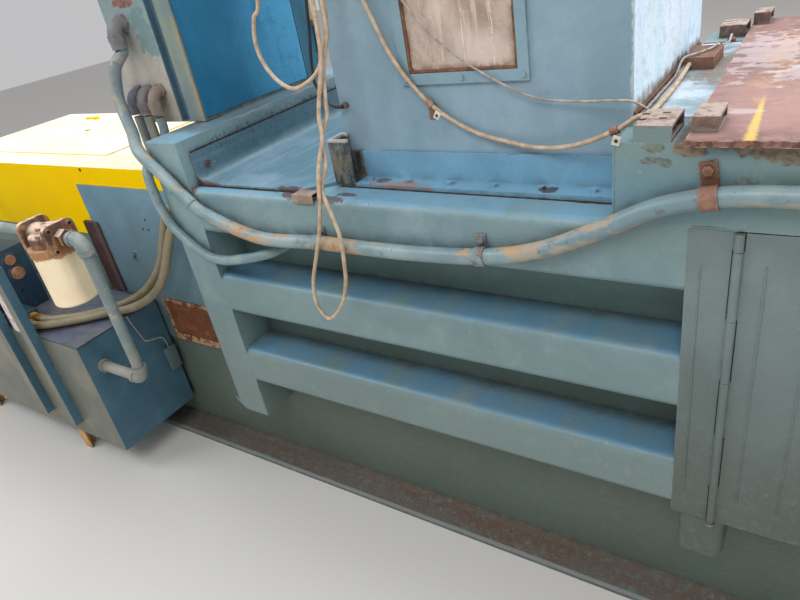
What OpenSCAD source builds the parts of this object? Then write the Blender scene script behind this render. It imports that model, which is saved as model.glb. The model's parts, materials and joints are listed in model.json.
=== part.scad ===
// Horizontal recycling baler: ram chamber with bent-plate ribs, feed hopper, side door,
// rear cylinder hood, oil tank with spin-on filter, control cabinet and its conduits.
// Frame: X along the machine towards the bale end, Y across it with the service side at -Y,
// Z up from the floor. The origin is the centre of the anchor bolts. Millimetres.

/* [Body] */
// Half width over the faces of the ribs, posts and headers
face_y = 430; // [400:1:470]
// Half width over the outer faces of the side walls
wall_y = 315; // [290:1:330]
// Thickness of the side walls
wall_t = 12; // [8:1:16]
// Height of the ledge and of the deck's underside
ledge_z = 1012; // [980:1:1060]
// Height of the raised bale-end section
header_z = 1149; // [1120:1:1200]
// Rear end of the machine, behind the origin
rear_len = 2300; // [2250:1:2600]
// Bale end of the machine, ahead of the origin
front_len = 1720; // [1690:1:1900]
// Thickness of the bent plate of ribs, posts and headers
plate_t = 8; // [5:1:12]
// Outer radius of the bends
bend_r = 20; // [14:1:30]

/* [Base] */
// Thickness of the base rail's flange
base_t = 12; // [8:1:20]
// Half width over the base flanges
foot_y = 415; // [385:1:450]
// Distance between the anchor bolts along the machine
anchor_dx = 3200; // [2800:10:3300]
// Distance between the anchor bolts across the machine
anchor_dy = 730; // [710:1:750]
// Radius of the anchor bolt holes
anchor_r = 11; // [8:0.5:14]

/* [Ribs and posts] */
// Height of a rib
rib_h = 123; // [100:1:140]
// Distance from rib to rib
rib_pitch = 252; // [230:1:255]
// Left side of the portal post
portal_x = -700; // [-720:1:-690]
// Width of the portal post
portal_w = 129; // [110:1:140]
// Height of the portal
portal_z = 1135; // [1100:1:1170]
// Height of the posts' lower ends
post_foot_z = 252; // [220:1:300]
// Left side of the throat post
throat_x = 628; // [610:1:640]
// Width of the throat post
throat_w = 101; // [90:1:110]
// How far the throat post's foot is cut back
foot_cut = 12; // [4:1:30]
// Left end of the raised header
header_x = 512; // [510:1:530]

/* [Chamber] */
// Height of the chamber floor's top face
floor_z = 290; // [270:1:310]
// Thickness of the chamber floor
floor_t = 20; // [12:1:25]
// Clearance between the ram and the ceiling or the blade
ram_clear = 3; // [2:0.5:8]
// Thickness of the ceiling plate
ceiling_t = 12; // [8:1:20]
// Height of the shear blade
blade_h = 24; // [16:1:30]

/* [Hopper] */
// Left face of the hopper
hopper_x0 = -137; // [-150:1:-120]
// Right face of the hopper
hopper_x1 = 505; // [490:1:508]
// Half width of the hopper
hopper_y = 290; // [280:1:296]
// Height of the hopper's rim
hopper_z = 2150; // [1900:10:2400]
// Sheet thickness of the hopper
hopper_t = 8; // [4:1:10]
// Height of the foot angle's upright leg
foot_angle_h = 68; // [50:1:80]
// Left side of the window opening
window_x = 63; // [50:1:90]
// Width of the window opening
window_w = 236; // [200:1:250]
// Bottom of the window opening
window_z = 1242; // [1220:1:1260]
// Height of the window opening
window_h = 298; // [250:1:350]
// Width of the window frame's border
window_border = 22; // [18:1:26]

/* [Side door] */
// Left edge of the door plate
door_x = 712; // [711:1:722]
// Width of the door plate
door_w = 800; // [700:1:820]
// Height of the door's lower edge
door_z = 371; // [350:1:385]
// Thickness of the door plate and the hinge leaf
leaf_t = 10; // [6:1:12]
// Distance of the hinge pin from the post's left side
hinge_dx = 75; // [72:1:78]
// Radius of the hinge barrel
barrel_r = 7.5; // [6:0.5:7.5]
// Radius of the hinge pin
pin_r = 4.5; // [3:0.5:5]
// Length of a hinge knuckle
knuckle = 127.6; // [90:0.1:160]

/* [Ram and cylinder] */
// Length of the ram
ram_len = 800; // [760:1:840]
// Thickness of the ram's plates
ram_t = 16; // [10:1:25]
// Thickness of the ram's face plate
ram_face_t = 30; // [20:1:40]
// Gap between the ram's face and the hopper's left side at rest
ram_back = 13; // [10:1:30]
// Height of the cylinder's axis
cyl_z = 640; // [600:1:680]
// Outer radius of the cylinder barrel
cyl_r = 95; // [90:1:110]
// Radius of the cylinder's bore
bore_r = 75; // [60:1:80]
// Radius of the piston rod
rod_r = 45; // [35:1:50]
// Length of the cylinder barrel
cyl_len = 1100; // [1050:1:1120]
// Radius of the cylinder's end pins
eye_pin_r = 25; // [20:1:30]

/* [Rear section] */
// Sheet thickness of the hood
hood_t = 3; // [2:0.5:5]
// Height of the hood skirt's lower edge
skirt_z = 760; // [700:1:800]
// Left edge of the access cover
access_x = -1310; // [-1340:1:-1290]
// Height of the access cover's lower edge
access_z0 = 377; // [360:1:400]
// Height of the access cover's upper edge
access_z1 = 950; // [920:1:960]
// Width of the hatch along the machine
hatch_w = 850; // [700:1:900]
// Depth of the hatch across the machine
hatch_d = 424; // [380:1:460]

/* [Power pack] */
// Right face of the oil tank
tank_x = -1111; // [-1125:1:-1105]
// Length of the oil tank
tank_len = 1049; // [900:1:1080]
// Front face of the oil tank
tank_y = -645; // [-700:1:-640]
// Back face of the oil tank
tank_back_y = -330; // [-340:1:-327]
// Height of the tank's floor
tank_z0 = 100; // [80:1:120]
// Height of the tank's lid
tank_z1 = 536; // [520:1:550]
// Radius of the return pipe
pipe_r = 17; // [14:0.5:20]
// Height of the return pipe's lower run
pipe_z0 = 430; // [420:1:460]
// Height of the filter line
pipe_z1 = 910; // [890:1:920]
// Distance of the filter line's axis from the centre
pipe_y = -588; // [-600:1:-570]
// Radius of the filter can
can_r = 67; // [60:1:70]
// Length of the filter can
can_h = 167; // [140:1:180]

/* [Cabinet and conduits] */
// Left side of the control cabinet
cab_x0 = -935; // [-1000:1:-925]
// Right side of the control cabinet
cab_x1 = -650; // [-660:1:-640]
// Front face of the control cabinet
cab_y = -250; // [-260:1:-240]
// Depth of the control cabinet
cab_d = 540; // [500:1:560]
// Height of the cabinet's top
cab_z = 2000; // [1800:10:2100]
// Sheet thickness of the cabinet
cab_t = 3; // [2:0.5:4]
// Radius of the main conduit
conduit_r = 16.5; // [13:0.5:16.5]
// Radius of the branch conduits
branch_r = 13; // [10:0.5:14]
// Radius of the hydraulic hoses
hose_r = 14; // [10:0.5:15]
// Radius of the pale cords
cord_r = 4.5; // [3:0.5:4.5]

/* [Hidden] */
$fn = 48;

// Named clearances
slide_gap = 0.3;
pin_gap = 0.05;
joint_gap = 1;

// Places worked out from the driving sizes
rear_x = -rear_len;
end_x = front_len;
wall_in = wall_y - wall_t;
portal_r = portal_x + portal_w;
throat_r = throat_x + throat_w;
rib_top_z = ledge_z - rib_h;
rib_mid_z = rib_top_z - rib_pitch;
rib_low_z = rib_mid_z - rib_pitch;
post_d = face_y - wall_y;
leaf_y = face_y - leaf_t;
deck_t = 8;
deck_y = face_y - 30;
flange_reach = 55;
roof_z = header_z - 12;
ceiling_z = ledge_z - ceiling_t;
blade_z = ledge_z - blade_h;
ram_top = blade_z - ram_clear;
ram_bottom = floor_z + 15;
ram_x1 = hopper_x0 - ram_back;
ram_x0 = ram_x1 - ram_len;
ram_y = wall_in - 13;
chamber_end = door_x + door_w - 16;
doorway_x0 = throat_r + 11;
doorway_x1 = chamber_end - 10;
doorway_z0 = door_z + 21;
doorway_z1 = ledge_z - 20;
latch_x = chamber_end + 2;
hinge_x = throat_x + hinge_dx;
hinge_y = -(face_y + 2);
hinge_top = ledge_z - 2;
cab_z0 = portal_z + 2;

// A box between two corners
module block(a, b) {
    translate(a) cube(b - a);
}

// A cylinder along X, Y or Z from a point
module rod_x(p, r, l, f = $fn) {
    translate(p) rotate([0, 90, 0]) cylinder(r = r, h = l, $fn = f);
}
module rod_y(p, r, l, f = $fn) {
    translate(p) rotate([-90, 0, 0]) cylinder(r = r, h = l, $fn = f);
}
module rod_z(p, r, l, f = $fn) {
    translate(p) cylinder(r = r, h = l, $fn = f);
}

// A rectangle whose two lower corners are rounded, for bent plate
module bent_outline(w, d, r) {
    translate([0, r]) square([w, d - r]);
    translate([r, 0]) square([w - 2 * r, r]);
    translate([r, r]) circle(r);
    translate([w - r, r]) circle(r);
}

// A rectangle whose lower left corner alone is rounded
module one_bend_outline(w, d, r) {
    translate([0, r]) square([w, d - r]);
    translate([r, 0]) square([w - r, r]);
    translate([r, r]) circle(r);
}

// Section of a bent channel: the web lies on Y = 0 and the open side at Y = d
module channel_section(w, d, r, t) {
    difference() {
        bent_outline(w, d, r);
        translate([t, t]) bent_outline(w - 2 * t, d, r - t);
    }
}

// A bent channel lying along X on the service side, with its web on the face
module channel_x(x0, x1, z0, h, face, d) {
    translate([x1, -face, z0]) rotate([0, -90, 0])
        linear_extrude(x1 - x0) channel_section(h, d, bend_r, plate_t);
}

// A bent channel standing along Z on the service side, with its web on the face
module channel_z(x0, w, z0, z1, face, d) {
    translate([x0, -face, z0])
        linear_extrude(z1 - z0) channel_section(w, d, bend_r, plate_t);
}

// A quarter bend of round bar in the XZ plane, from +X towards +Z
module quarter_bend(bend, r) {
    rotate([90, 0, 0]) rotate_extrude(angle = 90) translate([bend, 0]) circle(r);
}

// A smooth curve through a route's points, n steps to each stretch
function spline_at(a, b, c, d, t) =
    0.5 * (2 * b + (c - a) * t + (2 * a - 5 * b + 4 * c - d) * t * t
        + (3 * b - a - 3 * c + d) * t * t * t);
function smooth(p, n) = [
    for (i = [0:len(p) - 2]) for (j = [0:n - 1])
        spline_at(p[max(i - 1, 0)], p[i], p[i + 1], p[min(i + 2, len(p) - 1)], j / n),
    p[len(p) - 1]
];
function unit(v) = v / norm(v);
function carried(t, i, n) =
    i >= len(t) ? [] :
    let (m = unit(n - (n * t[i]) * t[i])) concat([m], carried(t, i + 1, m));
function first_normal(t) = unit(cross(t, abs(t[2]) < 0.9 ? [0, 0, 1] : [1, 0, 0]));

// A round tube swept along a route
module swept(route, r, steps, sides) {
    p = smooth(route, steps);
    last = len(p) - 1;
    t = [
        unit(route[1] - route[0]),
        for (i = [1:last - 1]) unit(p[i + 1] - p[i - 1]),
        unit(route[len(route) - 1] - route[len(route) - 2])
    ];
    n = carried(t, 0, first_normal(t[0]));
    points = [
        for (i = [0:last]) let (b = cross(t[i], n[i]))
            for (k = [0:sides - 1]) p[i] + r * (cos(360 * k / sides) * n[i]
                + sin(360 * k / sides) * b)
    ];
    walls = [
        for (i = [0:last - 1]) for (k = [0:sides - 1]) let (q = (k + 1) % sides)
            [i * sides + k, (i + 1) * sides + k, (i + 1) * sides + q, i * sides + q]
    ];
    caps = [
        [for (k = [0:sides - 1]) k],
        [for (k = [sides - 1:-1:0]) last * sides + k]
    ];
    polyhedron(points, concat(walls, caps));
}

// Colours of the painted steel and the bare parts
paint = [0.43, 0.60, 0.64];
deep = [0.16, 0.42, 0.56];
rust = [0.50, 0.36, 0.30];
yellow = [0.95, 0.78, 0.06];
beige = [0.62, 0.62, 0.55];
steel = [0.62, 0.63, 0.64];

// Base rail: a flange on the floor and a leg inside the wall, drilled for the anchors
rail_leg_h = 100;
module base_rail() {
    color(paint) difference() {
        union() {
            block([rear_x, -foot_y, 0], [end_x, -wall_in + base_t, base_t]);
            block([rear_x, -wall_in, 0], [end_x, -wall_in + base_t, rail_leg_h]);
        }
        for (s = [-1, 1]) rod_z([s * anchor_dx / 2, -anchor_dy / 2, -1], anchor_r, base_t + 2);
    }
}
module base_rails() { for (s = [0, 1]) mirror([0, s, 0]) base_rail(); }

// Side wall: low behind the portal, higher at the bale end, standing on the base flange
rear_wall_z = 800;
module wall_blank() {
    outline = [
        [rear_x + hood_t, base_t], [end_x, base_t], [end_x, header_z - plate_t],
        [header_x, header_z - plate_t],
        [header_x, ledge_z], [portal_x, ledge_z], [portal_x, rear_wall_z], [rear_x + hood_t, rear_wall_z]
    ];
    translate([0, -wall_in, 0]) rotate([90, 0, 0]) linear_extrude(wall_t) polygon(outline);
}
module side_wall_front() {
    color(paint) difference() {
        wall_blank();
        block([doorway_x0, -wall_y - 1, doorway_z0], [doorway_x1, -wall_in + 1, doorway_z1]);
        block([access_x + 40, -wall_y - 1, access_z0 + 190],
              [portal_x - 40, -wall_in + 1, rear_wall_z - 30]);
        block([insp_x + 20, -wall_y - 1, insp_z + 20],
              [insp_x + insp_w - 20, -wall_in + 1, insp_z + insp_h - 20]);
    }
}
module side_wall_back() { color(paint) mirror([0, 1, 0]) wall_blank(); }

// Chamber floor between the walls, on four cross bearers
bearer_w = 80;
module chamber_floor() {
    x0 = ram_x0 - 10;
    color(steel) {
        block([x0, -wall_in, floor_z - floor_t], [chamber_end, wall_in, floor_z]);
        for (k = [0:3]) translate([x0 + 40 + k * (chamber_end - x0 - 80 - bearer_w) / 3, 0, 0])
            difference() {
                block([0, -wall_in + base_t, base_t], [bearer_w, wall_in - base_t, floor_z - floor_t]);
                block([-1, -wall_in + 60, base_t + plate_t],
                      [bearer_w - plate_t, wall_in - 60, floor_z - floor_t - plate_t]);
            }
    }
}

// Ribs between the posts
module rib(z, x1) { channel_x(portal_r, x1, z, rib_h, face_y, post_d); }
module rib_lower() { color(paint) rib(rib_low_z, throat_x); }
module rib_middle() { color(paint) rib(rib_mid_z, throat_x); }
module rib_upper() { color(paint) rib(rib_top_z, header_x); }
module back_ribs() {
    color(paint) mirror([0, 1, 0]) {
        rib(rib_low_z, throat_x);
        rib(rib_mid_z, throat_x);
        rib(rib_top_z, header_x);
    }
}

// Portal post: a standing channel bent at its left edge and welded at its right one, with a
// closed, chamfered foot and a closed top
foot_chamfer = 34;
module portal_post() {
    difference() {
        union() {
            translate([portal_x, -face_y, post_foot_z])
                linear_extrude(portal_z - post_foot_z) difference() {
                    one_bend_outline(portal_w, post_d, bend_r);
                    translate([plate_t, plate_t])
                        one_bend_outline(portal_w - 2 * plate_t, post_d, bend_r - plate_t);
                }
            for (z = [post_foot_z, portal_z - plate_t]) translate([portal_x, -face_y, z])
                linear_extrude(plate_t) one_bend_outline(portal_w, post_d, bend_r);
            translate([portal_x, -face_y, post_foot_z]) rotate([-90, 0, 0])
                linear_extrude(post_d)
                    polygon([[0, -foot_chamfer], [foot_chamfer, 0], [foot_chamfer + 12, 0],
                             [0, -foot_chamfer - 12]]);
        }
        translate([portal_x, -face_y - 1, post_foot_z]) rotate([-90, 0, 0])
            linear_extrude(post_d + 2)
                polygon([[-1, 1], [foot_chamfer, 1], [foot_chamfer, 0], [0, -foot_chamfer],
                         [-1, -foot_chamfer]]);
    }
}
module portal_posts() {
    color(paint) {
        portal_post();
        mirror([0, 1, 0]) portal_post();
    }
}

// Cross beam of the portal: an upturned channel over the ram
module portal_beam() {
    color(paint) difference() {
        block([portal_x, -wall_y, ledge_z], [portal_r, wall_y, portal_z]);
        block([portal_x + plate_t, -wall_y - 1, ledge_z - 1],
              [portal_r - plate_t, wall_y + 1, portal_z - plate_t]);
    }
}

// Throat post with the foot cut back under its cover plate
module throat_post() {
    x1 = throat_r;
    difference() {
        union() {
            channel_z(throat_x, throat_w, door_z, ledge_z, leaf_y, leaf_y - wall_y);
            channel_z(throat_x + foot_cut, throat_w - foot_cut, post_foot_z, door_z + plate_t,
                      leaf_y, leaf_y - wall_y);
            translate([throat_x + foot_cut, -leaf_y, post_foot_z]) linear_extrude(plate_t)
                bent_outline(throat_w - foot_cut, leaf_y - wall_y, bend_r);
            translate([throat_x, -leaf_y, door_z]) linear_extrude(plate_t)
                bent_outline(throat_w, leaf_y - wall_y, bend_r);
        }
        translate([x1, -leaf_y - 1, post_foot_z]) rotate([-90, 0, 0])
            linear_extrude(leaf_y - wall_y + 2)
                polygon([[1, 1], [-foot_cut, 1], [-foot_cut, 0], [0, -foot_cut], [1, -foot_cut]]);
    }
}
module throat_posts() {
    color(paint) {
        throat_post();
        mirror([0, 1, 0]) throat_post();
    }
}

// Header: a welded box over the throat and the door, lower at its left end
module header() {
    low = rib_top_z;
    outline = [
        [header_x, low], [throat_x, low], [throat_x, ledge_z], [end_x, ledge_z],
        [end_x, header_z], [header_x, header_z]
    ];
    translate([0, -face_y + plate_t, 0]) rotate([90, 0, 0])
        linear_extrude(plate_t) polygon(outline);
    block([header_x, -face_y, header_z - plate_t], [end_x, -wall_in + 12, header_z]);
    block([header_x, -face_y, low], [header_x + plate_t, -wall_y, header_z]);
    block([end_x - plate_t, -face_y, ledge_z], [end_x, -wall_y, header_z]);
    block([throat_x, -face_y, ledge_z], [end_x, -wall_y, ledge_z + plate_t]);
    block([header_x, -face_y, low], [throat_x, -wall_y, low + plate_t]);
    block([throat_x - plate_t, -face_y, low], [throat_x, -wall_y, ledge_z + plate_t]);
}
module headers() { color(paint) for (s = [0, 1]) mirror([0, s, 0]) header(); }

// Deck plate between the portal and the hopper: its left edge is folded up against the portal
// and bolted there, and its front and back right corners are cut at a slant
fold_r = 28;
fold_top = ledge_z + 88;
module deck_plate() {
    cut = 74;
    x0 = portal_r + deck_t + fold_r;
    x1 = hopper_x0 - 2;
    fold_z = ledge_z + deck_t + fold_r;
    color(paint) {
        translate([0, 0, ledge_z]) linear_extrude(deck_t)
            polygon([
                [x0, -deck_y], [x1 - cut, -deck_y], [x1, -deck_y + cut],
                [x1, deck_y - cut], [x1 - cut, deck_y], [x0, deck_y]
            ]);
        translate([x0, deck_y, fold_z]) rotate([90, 0, 0]) linear_extrude(2 * deck_y)
            difference() {
                circle(fold_r + deck_t);
                circle(fold_r);
                translate([0, -2 * fold_r]) square(4 * fold_r);
                translate([-2 * fold_r, 0]) square(4 * fold_r);
            }
        block([portal_r, -deck_y, fold_z], [portal_r + deck_t, deck_y, fold_top]);
        for (s = [-1, 1]) rod_x([portal_r + deck_t, s * (deck_y - 41), ledge_z + 49], 11, 8, 6);
    }
}

// Foot angle along the hopper's front and back, its flat leg on the ledge, with an upright
// guard angle at the hopper's left corners
module hopper_flange() {
    leg = 8;
    reach = flange_reach;
    guard_z = ledge_z + 108;
    color(paint) {
        for (s = [0, 1]) mirror([0, s, 0]) {
            block([hopper_x0 - 13, -hopper_y - reach, ledge_z + leg],
                  [hopper_x0 + 40, -hopper_y - reach + leg, guard_z]);
            block([hopper_x0 - 13, -hopper_y - reach, ledge_z + leg],
                  [hopper_x0 - 13 + leg, -hopper_y, guard_z]);
            block([hopper_x0 - 13, -hopper_y - leg, ledge_z + leg],
                  [hopper_x0 + leg, -hopper_y, guard_z]);
            block([hopper_x0, -hopper_y - reach, ledge_z], [hopper_x1, -hopper_y, ledge_z + leg]);
            block([hopper_x0, -hopper_y - leg, ledge_z], [hopper_x1, -hopper_y,
                  ledge_z + foot_angle_h]);
            for (k = [0:5]) rod_z([hopper_x0 + 70 + k * (hopper_x1 - hopper_x0 - 130) / 5,
                                  -hopper_y - reach / 2 - 4, ledge_z + leg], 8, 6, 6);
        }
    }
}

// Hopper: four welded sheets, open below and above, with a turned-out rim
rim_w = 40;
module hopper_shell() {
    x0 = hopper_x0;
    x1 = hopper_x1;
    t = hopper_t;
    z0 = ledge_z;
    color(paint) difference() {
        union() {
            block([x0, -hopper_y, z0], [x1, hopper_y, hopper_z]);
            block([x0 - rim_w, -hopper_y - rim_w, hopper_z - t],
                  [x1 + rim_w, hopper_y + rim_w, hopper_z]);
        }
        block([x0 + t, -hopper_y + t, z0 - 1], [x1 - t, hopper_y - t, hopper_z + 1]);
        block([window_x - 8, -hopper_y - 1, window_z - 8],
              [window_x + window_w + 8, -hopper_y + t + 1, window_z + window_h + 8]);
    }
}

// Window: a screwed frame plate and the pane in the sheet's cut-out behind it
module window_frame() {
    t = 6;
    b = window_border;
    color(paint) {
        difference() {
            block([window_x - b, -hopper_y - t, window_z - b],
                  [window_x + window_w + b, -hopper_y, window_z + window_h + b]);
            block([window_x, -hopper_y - t - 1, window_z],
                  [window_x + window_w, -hopper_y + 1, window_z + window_h]);
        }
        for (i = [0:2]) for (j = [0, 1]) {
            x = window_x - b / 2 + i * (window_w + b) / 2;
            z = window_z - b / 2 + j * (window_h + b);
            rod_y([x, -hopper_y - t - 3, z], 5, 3);
        }
    }
}
module window_pane() {
    g = 8 - slide_gap;
    color([0.75, 0.68, 0.60]) block([window_x - g, -hopper_y, window_z - g],
        [window_x + window_w + g, -hopper_y + 6, window_z + window_h + g]);
}

// Roof between the headers, and the chamber ceiling below it
module roof_plate() {
    color(paint) block([hopper_x1, -wall_in + 12, roof_z], [end_x, wall_in - 12, header_z]);
}
module chamber_ceiling() {
    color(steel) block([header_x + 32, -wall_in, ceiling_z], [chamber_end, wall_in, ledge_z]);
}

// Shear blade across the mouth's bale-end edge, bolted up to a bearer
module shear_blade() {
    x0 = hopper_x1 + 1;
    x1 = header_x + 32;
    color(steel) difference() {
        block([x0, -wall_in, blade_z], [x1, wall_in, ledge_z]);
        for (k = [0:5]) rod_z([(x0 + x1) / 2, -wall_in + 55 + k * (2 * wall_in - 110) / 5,
                              blade_z - 1], 9, 14);
    }
}

// Loose top plate, resting on the headers, its left edge cut a little askew
plate_x = 617;
plate_skew = 23;
plate_front = -face_y - 18;
plate_back = face_y + 75;
top_t = 10;
module top_plate() {
    color(rust) translate([0, 0, header_z]) linear_extrude(top_t)
        polygon([
            [plate_x, plate_front], [end_x - 20, plate_front],
            [end_x - 20, plate_back], [plate_x - plate_skew, plate_back]
        ]);
}

// Short tube lugs: one pair on the headers and one pair on the top plate
module lug(x, y, z, w, d, h) {
    difference() {
        block([x, y, z], [x + w, y + d, z + h]);
        block([x + 6, y + 6, z + 5], [x + w + 1, y + d - 6, z + h - 5]);
    }
}
module tube_lugs() {
    z = header_z + top_t;
    color(rust) {
        lug(541, -face_y, header_z, 56, 92, 27);
        lug(538, face_y - 84, header_z, 56, 84, 27);
        lug(plate_x + 3, -face_y + 26, z, 38, 73, 23);
        lug(plate_x - 18, face_y + 4, z, 36, 71, 26);
    }
}

// Knuckles of the barrel hinge: even ones on the post's leaf, odd ones on the door
first_knuckle = 31;
function knuckle_top(k) = k == 0 ? hinge_top : hinge_top - first_knuckle - (k - 1) * knuckle;
function knuckle_low(k) = max(door_z + 1, hinge_top - first_knuckle - k * knuckle);
knuckle_count = ceil((hinge_top - first_knuckle - door_z - 1) / knuckle) + 1;
module knuckles(parity, side) {
    for (k = [parity:2:knuckle_count - 1]) {
        z0 = knuckle_low(k) + joint_gap / 2;
        h = knuckle_top(k) - knuckle_low(k) - joint_gap;
        rod_z([hinge_x, hinge_y, z0], barrel_r, h);
        xe = hinge_x + side * (barrel_r + 8);
        block([min(hinge_x, xe), -face_y, z0], [max(hinge_x, xe), -leaf_y - 2, z0 + h]);
    }
}
module hinge_bore() {
    rod_z([hinge_x, hinge_y, door_z - 5], pin_r + pin_gap, ledge_z - door_z + 10);
}
// Cover plate on the throat post, with its knuckles
module hinge_leaf() {
    color(paint) difference() {
        union() {
            block([throat_x, -face_y, door_z], [hinge_x - barrel_r - 1.5, -leaf_y, ledge_z]);
            knuckles(0, -1);
        }
        hinge_bore();
    }
}
module hinge_pin() {
    color(steel) {
        rod_z([hinge_x, hinge_y, door_z - 4], pin_r, hinge_top - door_z + 4);
        rod_z([hinge_x, hinge_y, door_z - 8], pin_r + 4, 4);
    }
}

// Side door: outer plate, inner liner flush with the chamber wall, and ribs between them
door_gap = 5;
module side_door() {
    x0 = doorway_x0 + door_gap;
    x1 = doorway_x1 - door_gap;
    z0 = doorway_z0 + door_gap;
    z1 = doorway_z1 - door_gap;
    liner_t = 12;
    color(paint) difference() {
        union() {
            block([door_x, -face_y, door_z], [door_x + door_w, -leaf_y, ledge_z - joint_gap - 1]);
            knuckles(1, 1);
            block([x0, -wall_in - liner_t, z0], [x1, -wall_in, z1]);
            for (x = [x0, (x0 + x1) / 2 - 5, x1 - 10])
                block([x, -leaf_y, z0], [x + 10, -wall_in - liner_t, z1]);
            for (z = [z0, (z0 + z1) / 2 - 5, z1 - 10])
                block([x0, -leaf_y, z], [x1, -wall_in - liner_t, z + 10]);
        }
        hinge_bore();
    }
}

// Latch post behind the door's free edge, with two bosses for the turning dogs
dog_x = door_x + door_w + 34;
dog_zs = [door_z + 130, ledge_z - 130];
dog_off = 6;
dog_t = 25;
boss_r = 26;
module latch_post() {
    w = 108;
    color(paint) {
        channel_z(latch_x, w, post_foot_z, ledge_z, leaf_y, leaf_y - wall_y);
        translate([latch_x, -leaf_y, post_foot_z]) linear_extrude(plate_t)
            bent_outline(w, leaf_y - wall_y, bend_r);
        for (z = dog_zs) {
            rod_y([dog_x, -face_y - dog_off, z], boss_r, leaf_t + dog_off);
            rod_y([dog_x, -face_y - dog_off - dog_t - 4, z], 12, dog_off + dog_t + 4);
            rod_y([dog_x, -face_y - dog_off - dog_t - 12, z], 19, 8, 6);
        }
    }
}

// Turning dog: a bar that swings over the door's edge, with a handle
module door_dog(z) {
    y1 = -face_y - dog_off - slide_gap;
    y0 = y1 - dog_t;
    color(rust) difference() {
        union() {
            rod_y([dog_x, y0, z], 30, dog_t);
            block([dog_x - 22, y0, z], [dog_x + 22, y1, z + 92]);
            translate([dog_x, 0, z]) rotate([0, -35, 0]) translate([-dog_x, 0, -z])
                rod_z([dog_x, (y0 + y1) / 2, z - 190], 10, 170);
        }
        rod_y([dog_x, y0 - 1, z], 12 + pin_gap, dog_t + 2);
    }
}
module door_dog_upper() { door_dog(dog_zs[1]); }
module door_dog_lower() { door_dog(dog_zs[0]); }

// End wall: platen with grooves for the tie wires, backed by three cross channels
module end_wall() {
    platen_t = 20;
    back = chamber_end + platen_t;
    depth = min(110, end_x - back - 20);
    color(paint) {
        difference() {
            block([chamber_end, -wall_in, floor_z - floor_t], [back, wall_in, ledge_z]);
            for (k = [0:3]) block([chamber_end - 1, -wall_in + 90 + k * (2 * wall_in - 192) / 3,
                                  floor_z - floor_t - 1],
                                 [chamber_end + 9, -wall_in + 102 + k * (2 * wall_in - 192) / 3,
                                  ledge_z + 1]);
        }
        for (z = [rib_low_z, rib_mid_z, rib_top_z]) difference() {
            block([back, -wall_in, z], [back + depth, wall_in, z + rib_h]);
            block([back - 1, -wall_in - 1, z + plate_t],
                  [back + depth - plate_t, wall_in + 1, z + rib_h - plate_t]);
        }
    }
}

// Ram: an open-backed welded box with a thick face and two ears for the rod
ear_gap = 48;
ear_t = 30;
eye_x = ram_x1 - ram_face_t - 120;
module ram_body() {
    x0 = ram_x0;
    x1 = ram_x1;
    color(steel) difference() {
        union() {
            difference() {
                block([x0, -ram_y, ram_bottom], [x1, ram_y, ram_top]);
                block([x0 - 1, -ram_y + ram_t, ram_bottom + ram_t],
                      [x1 - ram_face_t, ram_y - ram_t, ram_top - ram_t]);
            }
            for (s = [-1, 1]) {
                y = s > 0 ? ear_gap : -ear_gap - ear_t;
                block([eye_x, y, cyl_z - 70], [x1 - ram_face_t, y + ear_t, cyl_z + 70]);
                rod_y([eye_x, y, cyl_z], 70, ear_t);
            }
        }
        rod_y([eye_x, -ear_gap - ear_t - 1, cyl_z], eye_pin_r + pin_gap, 2 * (ear_gap + ear_t) + 2);
    }
}
// Wear strips: two under the ram and two on each side
module ram_shoes() {
    w = 60;
    color([0.45, 0.44, 0.42]) {
        for (s = [0, 1]) mirror([0, s, 0]) {
            block([ram_x0 + 20, -ram_y + 40, floor_z + slide_gap],
                  [ram_x1 - 20, -ram_y + 40 + w, ram_bottom]);
            for (z = [ram_bottom + 60, ram_top - 60 - w])
                block([ram_x0 + 20, -wall_in + slide_gap, z], [ram_x1 - 20, -ram_y, z + w]);
        }
    }
}

// Piston rod with its piston and eye
cyl_x1 = eye_x - 150;
cyl_x0 = cyl_x1 - cyl_len;
module piston_rod() {
    color([0.80, 0.81, 0.83]) difference() {
        union() {
            rod_x([cyl_x0 + 80, 0, cyl_z], rod_r, eye_x - cyl_x0 - 80 - 40);
            rod_x([cyl_x0 + 60, 0, cyl_z], bore_r - pin_gap, 60);
            rod_y([eye_x, -ear_gap + 1, cyl_z], 62, 2 * ear_gap - 2);
        }
        rod_y([eye_x, -ear_gap - 1, cyl_z], eye_pin_r + pin_gap, 2 * ear_gap + 2);
    }
}
module rod_pin() {
    l = ear_gap + ear_t;
    color(steel) {
        rod_y([eye_x, -l - 10, cyl_z], eye_pin_r, 2 * l + 20);
        rod_y([eye_x, l + slide_gap, cyl_z], eye_pin_r + 8, 9);
    }
}

// Cylinder barrel with gland, rear eye and two ports
gland_l = 80;
rear_eye_x = cyl_x0 - 70;
module cylinder_barrel() {
    color(paint) difference() {
        union() {
            rod_x([cyl_x0, 0, cyl_z], cyl_r, cyl_len);
            rod_x([cyl_x1 - gland_l, 0, cyl_z], cyl_r + 12, gland_l);
            rod_x([cyl_x0, 0, cyl_z], cyl_r + 6, 40);
            rod_y([rear_eye_x, -45, cyl_z], 62, 90);
            block([rear_eye_x, -45, cyl_z - 62], [cyl_x0, 45, cyl_z + 62]);
            for (x = [cyl_x0 + 90, cyl_x1 - gland_l - 40]) rod_z([x, 0, cyl_z + cyl_r - 8], 26, 40);
        }
        rod_x([cyl_x0 + 50, 0, cyl_z], bore_r, cyl_len - 50 - gland_l + 30);
        rod_x([cyl_x1 - gland_l - 1, 0, cyl_z], rod_r + pin_gap, gland_l + 2);
        rod_y([rear_eye_x, -46, cyl_z], eye_pin_r + pin_gap, 92);
    }
}
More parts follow.
